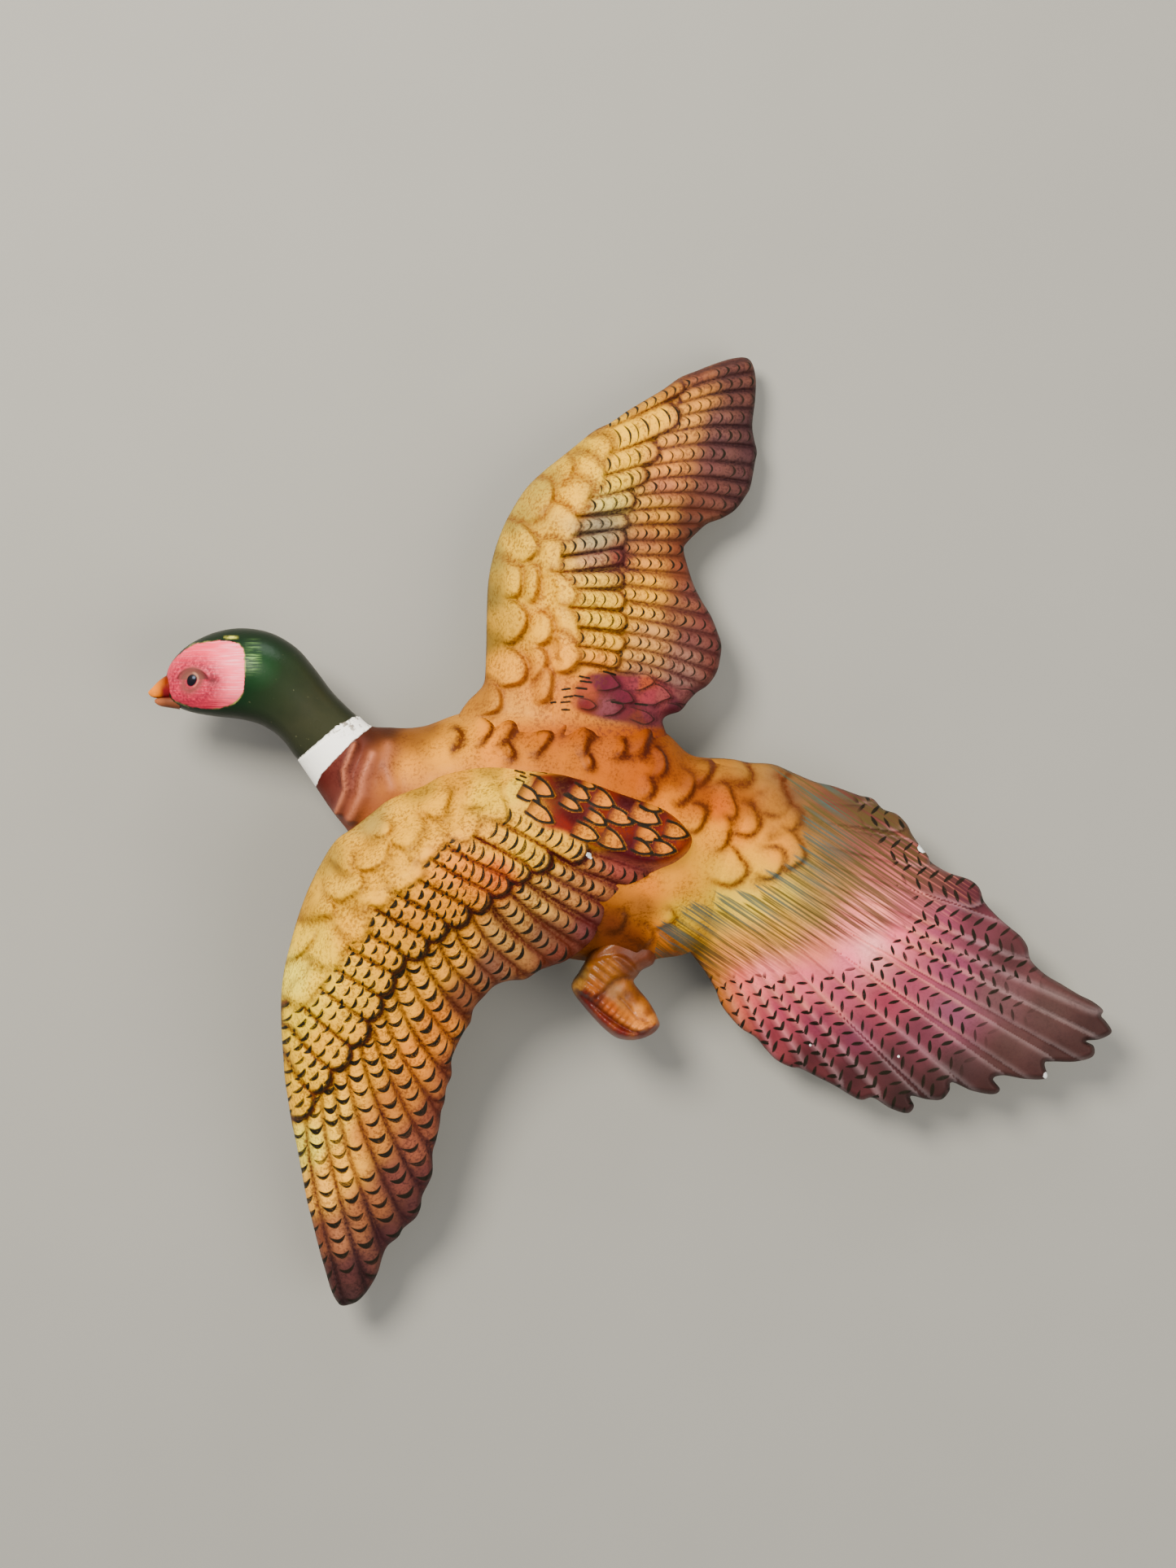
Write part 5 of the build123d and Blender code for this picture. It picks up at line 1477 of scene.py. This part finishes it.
def head_paint():
    """The head's glossy paint: green and brown neck, pink face, eye and white collar."""
    net = Net("head_paint", glaze=0.13)
    mottle = net.noise(6.0, 3.0)
    fine = net.noise(0.8, 3.0, 0.6)
    px, pz = net.attribute("plan_x"), net.attribute("plan_z")
    streak = net.streaks(pz + 50.0, px + 200.0, 0.42, 7.0, 3.0)
    # Green crown and cheek, browner down the neck, a painted sheen on the crown, and near black round the
    # sides as painted shade.
    down = ((px + 101.0) * 0.05 - (pz - 20.0) * 0.03).clamp()
    green = net.blend(down, rgba((22, 50, 24)), rgba((62, 64, 42)))
    green = net.blend(((mottle - 0.42) * 1.5).clamp() * 0.5, green, rgba((18, 34, 20)))
    # A painted highlight on the crown.
    sheen = round_spot(px, pz, -97.5, 27.5, fall_x=0.14, fall_z=0.13)
    green = net.blend(sheen * (0.2 + mottle * 0.4), green, rgba((40, 92, 44)))
    # Pale green streaks near the top of the crown.
    pale_streak_spot = spot(px, pz, -99.3, 30.0, fall_x=0.34, fall_z=0.17)
    green = net.blend((pale_streak_spot * ((streak - 0.44) * 9.0)).clamp() * 0.8, green, rgba((150, 196, 132)))
    # Painted shade: near black where the head and neck turn away from the front.
    turned = net.attribute("turned")
    green = net.blend(((turned - 0.66) * 3.2).clamp() * 0.8, green, rgba((22, 30, 20)))
    # Pink face: deep rose low and round the eye, paler with level strokes behind it.
    behind = ((px + 113.0) * 0.11).clamp()
    low = ((20.5 - pz) * 0.28).clamp()
    pink = net.blend(behind, rgba((244, 96, 122)), rgba((255, 140, 154)))
    pink = net.blend(((streak - 0.46) * 6.0).clamp() * (0.2 + behind * 0.45), pink, rgba((255, 190, 196)))
    pink = net.blend(low * (0.6 + (streak - 0.5) * 3.0).clamp(), pink, rgba((214, 44, 84)))
    around = (1.0 - abs(net.attribute("lid") - 1.4) * 0.22).clamp()
    pink = net.blend(around * ((fine - 0.2) * 2.8).clamp() * 0.9, pink, rgba((168, 40, 66)))
    edge = net.attribute("patch") + (net.noise(1.3, 2.0) - 0.5) * 0.8
    tint = net.blend((edge / 0.3 + 0.5).clamp(), green, pink)
    # Worn pale lines where the pink overlaps the green.
    tint = net.blend(((0.34 - abs(edge + 0.15)) / 0.3).clamp() * ((mottle - 0.46) * 6.0).clamp() * 0.7, tint,
                     rgba((206, 206, 140)))
    nick = spot(px, pz, -105.6, 35.9, fall_x=0.42, fall_z=1.6)
    tint = net.blend((nick * ((fine - 0.2) * 5.0)).clamp() * 0.85, tint, rgba((236, 232, 150)))
    # Eye: tan socket under a dark lid line, black pupil with a pale rim that is a painted highlight.
    lid = net.attribute("lid") + (fine - 0.5) * 0.5
    eye = net.attribute("eye")
    # The socket goes darker out towards the lid: painted shade in the hollow.
    socket = net.blend(((eye - 1.6) / 2.4).clamp(), rgba((170, 104, 92)), rgba((120, 58, 58)))
    tint = net.blend((0.4 - lid / 1.1).clamp(), tint, socket)
    tint = net.blend((1.0 - abs(lid - 0.05) / 0.5).clamp() * ((pz - 22.8) * 0.8).clamp() * 0.9, tint,
                     rgba((92, 38, 34)))
    # A darker patch behind the eye, broken by fine strokes, and the fold there: painted shade.
    rear = spot(px, pz, -111.2, 23.0, fall_x=0.34, fall_z=0.34)
    tint = net.blend(rear * ((fine - 0.2) * 2.6).clamp() * 0.9, tint, rgba((168, 78, 82)))
    tint = net.blend((net.attribute("crease") * 0.8).clamp(), tint, rgba((120, 50, 58)))
    ring = (1.0 - abs(eye - 2.6) / 1.5).clamp() * 0.8
    tint = net.blend(ring, tint, rgba((158, 92, 84)))
    # A pale rim on the pupil's right side: a painted highlight.
    rim = (1.0 - abs(eye - 1.75) / 0.4).clamp()
    tint = net.blend(rim * ((px - EYE_AT[0]) * 1.2).clamp() * 0.45, tint, rgba((226, 176, 160)))
    tint = net.blend(((1.6 - eye) / 0.3).clamp(), tint, rgba((22, 18, 26)))
    # A painted glint on the pupil.
    glint = round_spot(px, pz, -116.5, 24.2, fall_x=1.9, fall_z=1.9)
    tint = net.blend(glint * 0.6, tint, rgba((150, 160, 190)))
    collar = net.attribute("collar") + (net.noise(1.0, 2.0) - 0.5) * 0.8
    white = collar_white(net, mottle, start=0.5, amount=0.3, stain_from=6.0, stain_rate=0.34)
    tint = net.blend((collar / 0.35 + 0.5).clamp(), tint, white)
    scuff = ((net.noise(1.2, 3.0) - 0.71) * 16.0).clamp()
    tint = net.blend(scuff * 0.5, tint, rgba((150, 150, 110)))
    rough = (0.32 + (mottle - 0.5) * 0.2 + (edge / 0.3 + 0.5).clamp() * 0.12).clamp()
    brushed = (edge / 0.4 + 0.5).clamp() * (0.7 + streak * 0.6)
    return net.finish(tint, rough, (net.noise(0.9, 3.0), 0.08, 0.5), (brushed, 0.1, 0.7))


def torso_paint():
    """The body's paint, from the maroon breast and collar edge to the fringe over the tail."""
    net = Net("body_paint")
    mottle = net.noise(7.0, 3.0)
    fine = net.noise(0.9, 3.0, 0.65)
    grain = net.noise(0.45, 2.0, 0.6)
    tint = ground(net, mottle, fine, patches=(1.6, 0.25, 0.35), dust=(0.49, 0.34, 0.5), speckle=1.0,
                  groove=0.85)
    tint = brush_fringe(net, tint)
    # White collar between the green neck and the maroon breast.
    maroon = net.attribute("maroon") + (net.noise(1.2, 2.0) - 0.5) * 0.6
    white = collar_white(net, mottle, start=0.52, amount=0.35, stain_from=6.5, stain_rate=0.3)
    tint = net.blend((0.5 - maroon / 0.3).clamp(), tint, white)
    collar = net.attribute("collar") + (net.noise(1.0, 2.0) - 0.5) * 0.8
    tint = net.blend((0.5 - collar / 0.35).clamp(), tint, rgba((40, 56, 36)))
    painted = coated(net, size_mm=3.0, ragged=1.1)
    bare = net.blend(mottle * 0.5, rgba((222, 208, 184)), rgba((188, 168, 138)))
    tint = net.blend(painted, bare, tint)
    rough = (0.40 + (mottle - 0.5) * 0.25 + (1.0 - painted) * 0.4).clamp()
    return net.finish(tint, rough, (grain, 0.1, 0.6), (net.noise(2.2, 2.0), 0.2, 0.5))


def beak_paint():
    """Both halves of the beak: orange above, rosy below, with a dark line between."""
    net = Net("beak_paint")
    mottle = net.noise(1.6, 3.0)
    px, pz = net.attribute("plan_x"), net.attribute("plan_z")
    to_tip = ((-124.6 - px) / 3.2).clamp()
    upper = net.blend(to_tip, rgba((150, 50, 24)), rgba((244, 160, 8)))
    base = ((px + 126.4) * 0.8).clamp() * ((22.4 - pz) * 0.6).clamp()
    upper = net.blend(base, upper, rgba((150, 34, 40)))
    lower = net.blend(to_tip, rgba((150, 84, 62)), rgba((206, 128, 104)))
    low = ((18.3 - pz) / 0.3 + 0.5).clamp()
    tint = net.blend(low, upper, lower)
    line = (1.0 - abs(pz - 18.45) / 0.35).clamp()
    tint = net.blend((line * 0.8).clamp(), tint, rgba((90, 36, 28)))
    tint = net.blend(((mottle - 0.55) * 3.0).clamp() * 0.3, tint, rgba((150, 80, 50)))
    return net.finish(tint, (0.32 + (mottle - 0.5) * 0.2).clamp(), (net.noise(0.6, 2.0), 0.06, 0.6))


UPPER_BEAK = [
    ((-121.5, 26.5), (-121.5, 18.2), -24, 4.2), ((-124.8, 24.6), (-124.6, 18.3), -24, 3.5),
    ((-126.8, 23.1), (-126.6, 18.2), -24, 2.6), ((-128.4, 21.4), (-128.0, 18.3), -24, 1.7),
    ((-129.5, 20.3), (-129.2, 18.9), -24, 0.8), ((-129.75, 19.9), (-129.6, 19.5), -24, 0.35),
]
LOWER_BEAK = [((-120.5, 19.4), (-120.5, 14.9), -24, 3.4), ((-123.8, 18.9), (-123.6, 15.4), -24, 2.8),
              ((-126.0, 18.5), (-125.8, 15.8), -24, 2.0), ((-127.4, 18.1), (-127.2, 16.4), -24, 1.1),
              ((-127.9, 17.7), (-127.8, 17.0), -24, 0.4)]


def plan_values(x, z, y):
    return {"plan_x": x, "plan_z": z}


# ------------------------------------------------------------------ foot
FOOT_OUTLINE = [
    (-0.5, -54), (-2.5, -58), (-4.5, -61.5), (-6.2, -64), (-6.6, -66), (-5.5, -68.3), (-3, -71.5), (0, -75),
    (3, -78), (6, -80.3), (9, -81.2), (12, -81.2), (15, -80.4), (17.5, -79), (19, -77), (18.5, -75),
    (17.4, -72.5), (15.5, -69.5), (13, -66.5), (11.5, -64.2), (12.5, -62.6), (14, -60.8), (17.5, -58.5),
    (18, -52), (8, -50),
]
FOOT_FRONT = thin_plate([
    (0, -55, -33), (10, -54, -34), (16, -56, -31), (-3, -61, -31), (4, -60, -35), (11, -60, -33),
    (-6, -66, -29), (0, -66, -33.5), (8, -65, -29.5), (12, -64, -27.5), (-2, -71, -30), (4, -76, -30.5),
    (10, -80, -29.5), (16, -79, -28.5), (18.5, -76, -27.5), (9, -71, -28.5), (14, -71, -26.5),
    (14, -75, -27.5),
], 0.002)
FOOT_PAINT = colour_field([
    (0, -56, (140, 72, 30)), (10, -56, (130, 60, 32)), (15, -58, (140, 66, 38)), (-4, -62, (160, 120, 64)),
    (1, -61, (176, 104, 44)), (5, -62, (200, 124, 60)), (10, -61, (146, 74, 40)), (-5, -66, (206, 150, 90)),
    (0, -66, (196, 112, 62)), (-3, -68, (120, 26, 20)), (-2, -71, (134, 36, 28)), (3, -75, (150, 46, 34)),
    (8, -79, (140, 36, 28)), (14, -80, (132, 40, 30)), (18, -78, (150, 62, 44)), (1, -69, (150, 60, 34)),
    (5, -72, (206, 110, 62)), (9, -75, (214, 134, 84)), (13, -77, (236, 164, 122)),
    (17, -75, (240, 170, 130)), (6, -67, (190, 130, 90)), (10, -65, (206, 130, 80)),
    (12, -69, (176, 100, 56)), (10, -69, (160, 92, 54)), (13, -72, (226, 156, 110)),
    (8, -70, (206, 138, 92)), (15, -70, (214, 136, 84)), (16, -73, (190, 110, 70)),
], soft=1.0)
FOOT_SHADE = colour_field([(-4, -68, (84, 14, 12)), (10, -77, (100, 24, 20)), (2, -62, (110, 56, 24)),
                           (12, -70, (120, 60, 30)), (8, -56, (90, 40, 20))])


FOOT_TOES = [
    ([(-5.2, -67.6), (-2, -71.5), (2.5, -76.2), (8, -79.7), (13, -80.3), (18, -78.2)], 1.9, 0.5),
    ([(-3, -66.6), (1, -69.4), (5.5, -72.8), (10, -76.2), (13.5, -77.7), (17.5, -77)], 1.6, 1.0),
]
FOOT_GROOVE = [(-5, -67), (-1, -70.3), (4, -74.6), (9.5, -78.1), (14, -79.2), (18, -77.8)]
FOOT_SHANK = [(-4, -61), (2, -57.5), (9, -57), (12.5, -62), (6, -63), (0.5, -68.5), (-5, -66.5)]
FOOT_KNUCKLES = [(8, -67, 1.6), (11.5, -70.5, 1.7), (14.5, -74.3, 1.7), (12.2, -74.5, 1.2), (10, -65, 1.5)]
FOOT_CLAW = [(7.5, -69), (10, -71.5), (12.5, -75), (15.5, -76)]


def foot_relief(x, z):
    """Two toes along the sole with a groove between, ribs round the shank, knuckles on the palm."""
    relief = Relief(x, z)
    beads = 0.22 * np.cos((x * 0.74 - z * 0.67) * 2 * math.pi / 1.9)
    for line, wide, beaded in FOOT_TOES:
        toe = line_distance(x, z, catmull(line, 0.4, False), False)
        relief.h += 1.5 * gaussian(toe / wide) * (1 + beads * beaded)
    groove = line_distance(x, z, catmull(FOOT_GROOVE, 0.4, False), False)
    relief.h -= 1.0 * gaussian(groove / 0.7)
    shank = signed_distance(x, z, catmull(FOOT_SHANK, 0.5))
    on = smooth(shank / 1.4 + 0.5)
    ribs = np.cos((x * 0.62 + z * 0.78) * 2 * math.pi / 2.5)
    relief.h += on * (1.0 + 0.28 * ribs)
    for cx, cz, r in FOOT_KNUCKLES:
        relief.h += 0.8 * gaussian(np.hypot(x - cx, z - cz) / r)
    claw = line_distance(x, z, FOOT_CLAW, False)
    relief.h -= 0.5 * gaussian(claw / 0.6)
    heel = gaussian((shank + 0.6) / 0.8) * (z < -61) * (x > 0)
    # Where the paint goes darker, partly as painted shade: the groove, between the ribs, the heel and along
    # the claw.
    for crease in (gaussian(groove / 0.9), on * 0.45 * np.clip(-ribs, 0, 1), 0.8 * heel,
                   0.6 * gaussian(claw / 0.6)):
        relief.crease = np.maximum(relief.crease, crease)
    return relief


# ------------------------------------------------------------------ chips, ticks and holes
def least(x, distances):
    """The smallest of some distances at each point."""
    best = np.full(x.shape, FAR_OFF)
    for distance in distances:
        best = np.minimum(best, distance)
    return best


def chips_of(spots):
    """Distances from chipped spots, each given as x, z and radius."""
    return lambda x, z, relief: {"chip": least(x, (np.hypot(x - cx, z - cz) - r for cx, cz, r in spots))}


def ticks_of(lines, spots):
    """Distances from single ink ticks, each given by its two ends, and from chipped spots."""
    return lambda x, z, relief: {
        **chips_of(spots)(x, z, relief),
        "tick": least(x, (line_distance(x, z, line, False) for line in lines)),
    }


def bore(piece, x, z, radius, depth):
    """Cut a round hole into a piece's flat back."""
    rim = bmesh.new()
    bmesh.ops.create_cone(rim, cap_ends=True, segments=48, radius1=radius / 1000, radius2=radius / 1000,
                          depth=2 * depth / 1000, matrix=Matrix.Rotation(math.radians(90), 4, "X"))
    mesh = bpy.data.meshes.new("bore")
    rim.to_mesh(mesh)
    rim.free()
    cutter = bpy.data.objects.new("bore", mesh)
    cutter.location = ((x + ROW_SHIFT) / 1000, 0, z / 1000)
    bpy.context.scene.collection.objects.link(cutter)
    cut = piece.modifiers.new("bore", "BOOLEAN")
    cut.operation = "DIFFERENCE"
    cut.solver = "EXACT"
    cut.object = cutter
    bpy.context.view_layer.update()
    ready = piece.evaluated_get(bpy.context.evaluated_depsgraph_get())
    done = bpy.data.meshes.new_from_object(ready)
    piece.modifiers.remove(cut)
    piece.data = done
    bpy.data.objects.remove(cutter)
    bpy.data.meshes.remove(mesh)


# ------------------------------------------------------------------ build the pieces
def hand_over(piece, material, slot_name, *nodes):
    """Give a piece its paint and body, and hide the table's nodes that it stands for; the slot name is not
    used.
    """
    piece.data.materials.append(material)
    if nodes:
        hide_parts(*nodes)
    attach(piece, "root")


body_front = bulge(TORSO)
# The wing's shoulder end lies on the body and stands a little proud of it.
near_front = lean_on(NEAR_FRONT, lambda x, z: body_front(x, z) - 2.8, 3.0,
                     lambda x, z: smooth((x + 10) / 12) * smooth((z + 42) / 12))
near = plate("near_wing_cast", NEAR_OUTLINE, 0.42, near_front, NEAR_THICK,
             lambda x, z: np.clip(NEAR_THICK(x, z) * 0.75 - 1.2, 1.4, 6.0),
             near_relief, near_paint, NEAR_SHADE,
             extras=ticks_of(NEAR_TICKS, [(-1.6, -27.4, 0.8), (-1.0, -28.2, 0.4)]))
near_material = feather_paint("near_wing_paint", ticks=True, ink_edge=0.75)
hand_over(near, near_material, "painted_wing", "near_wing")

far_front = lean_on(FAR_FRONT, body_front, 5.0, lambda x, z: smooth((24 - z) / 8))
far = plate("far_wing_cast", FAR_OUTLINE, 0.4, far_front, FAR_THICK,
            lambda x, z: np.clip(FAR_THICK(x, z) * 0.7 - 0.8, 1.4, 6.0), far_relief, far_paint, FAR_SHADE,
            extras=ticks_of(FAR_TICKS, []))
far_material = feather_paint("far_wing_paint", pitch=3.1, bend=2.3, thick=0.42, span=0.76, ink_edge=0.34,
                             ticks=True)
hand_over(far, far_material, "painted_wing", "far_wing")

tail_chips = chips_of([(95.6, -25.2, 1.6), (131.6, -91.6, 1.1), (62.7, -82.7, 0.5), (88.5, -86, 0.35)])
tail_front = lean_on(TAIL_FRONT, body_front, 5.0, lambda x, z: smooth((60 - x) / 10))
tail = plate("tail_cast", TAIL_OUTLINE, 0.45, tail_front, lambda x, z: np.full(x.shape, 4.6),
             lambda x, z: np.full(x.shape, 1.6), tail_relief, root_paint, root_shade,
             extras=lambda x, z, r: {**tail_chips(x, z, r), **brush_values(x, z)})
tail_material = feather_paint("tail_paint", speckle=0.3, brushed=True, herring_pitch=4.0)
hand_over(tail, tail_material, "painted_tail", "tail_fan")

torso = tube("torso_cast", TORSO, rings=380, around=250, relief_of=torso_relief, extra_points=collar_values,
             paint_of=lambda x, z: both_paints(x, z, body_paint, TAIL_PAINT), shade_of=root_shade)
for x, z, radius in HOLES:
    bore(torso, x, z, radius, HOLE_DEPTH)
hand_over(torso, torso_paint(), "painted_body", "torso_front_shell", "torso_back_shell")

head = tube("head_cast", HEAD, rings=280, around=260, relief_of=head_relief, extra_points=face_values,
            flatten=False, painted_from=(5.0, 9.0))
hand_over(head, head_paint(), "painted_head", "head_and_neck")

beak_material = beak_paint()
for label, stations in (("upper_beak", UPPER_BEAK), ("lower_beak", LOWER_BEAK)):
    beak = tube(label, stations, rings=40, around=48, relief_of=Relief, extra_points=plan_values,
                flatten=False, painted_from=(5.0, 9.0))
    hand_over(beak, beak_material, "painted_head")

foot = plate("feet_cast", FOOT_OUTLINE, 0.3, FOOT_FRONT, lambda x, z: np.full(x.shape, 12.0),
             lambda x, z: np.full(x.shape, 3.2), foot_relief, lambda x, z, r: FOOT_PAINT(x, z), FOOT_SHADE,
             step=0.35, extras=chips_of([]))
foot_material = feather_paint("foot_paint", speckle=0.5, roughness=0.36, glaze=0.2)
hand_over(foot, foot_material, "painted_leg", "near_leg", "far_leg")


# ------------------------------------------------------------------ camera, light and wall
def finish_scene():
    """The camera of the photo, three soft lamps, a pale world and the wall."""
    camera_data = bpy.data.cameras.new("camera")
    camera_data.lens = LENS_MM
    camera_data.sensor_width = SENSOR_MM
    camera_data.clip_start = 0.01
    camera_data.clip_end = 20
    camera = bpy.data.objects.new("camera", camera_data)
    camera.location = ((EYE[0] + ROW_SHIFT) / 1000, EYE[1] / 1000, EYE[2] / 1000)
    camera.rotation_euler = (math.radians(90), 0, 0)
    bpy.context.scene.collection.objects.link(camera)
    bpy.context.scene.camera = camera

    for name, place, size, watts, colour in (
        ("key", (-0.42, -0.86, 0.46), 0.42, 24.0, (1.0, 0.95, 0.87)),
        ("fill", (0.75, -0.9, -0.35), 0.9, 11.5, (1.0, 0.97, 0.92)),
        ("top", (0.1, -0.35, 0.9), 0.5, 5.0, (1.0, 1.0, 1.0)),
    ):
        data = bpy.data.lights.new(name, "AREA")
        data.shape = "DISK"
        data.size = size
        data.energy = watts
        data.color = colour
        obj = bpy.data.objects.new(name, data)
        obj.location = place
        obj.rotation_euler = (-Vector(place)).to_track_quat("-Z", "Y").to_euler()
        bpy.context.scene.collection.objects.link(obj)

    world = bpy.data.worlds.new("studio")
    world.use_nodes = True
    world.node_tree.nodes["Background"].inputs[0].default_value = (0.9, 0.93, 1.0, 1)
    world.node_tree.nodes["Background"].inputs[1].default_value = 0.7
    bpy.context.scene.world = world

    corners = [(sx * WALL_HALF, WALL_GAP, sz * WALL_HALF) for sx, sz in ((-1, -1), (1, -1), (1, 1), (-1, 1))]
    wall = add_mesh("wall", np.array(corners), np.array([(0, 1, 2), (0, 2, 3)]))
    plaster = Net("pale_wall")
    tone = plaster.blend(plaster.noise(60.0, 3.0) * 0.5, rgba((192, 189, 180)), rgba((182, 179, 170)))
    plaster.put(plaster.shader.inputs["Base Color"], tone)
    plaster.shader.inputs["Roughness"].default_value = 0.85
    # The wall is only there from the front: from behind it is clear, so the figure's back shows.
    clear = plaster.node("ShaderNodeBsdfTransparent")
    either = plaster.node("ShaderNodeMixShader")
    facing = plaster.node("ShaderNodeNewGeometry").outputs["Backfacing"]
    for socket, shown in zip(either.inputs, (facing, plaster.shader.outputs[0], clear.outputs[0])):
        plaster.put(socket, shown)
    plaster.put(plaster.out.inputs["Surface"], either.outputs[0])
    wall.data.materials.append(plaster.material)


finish_scene()
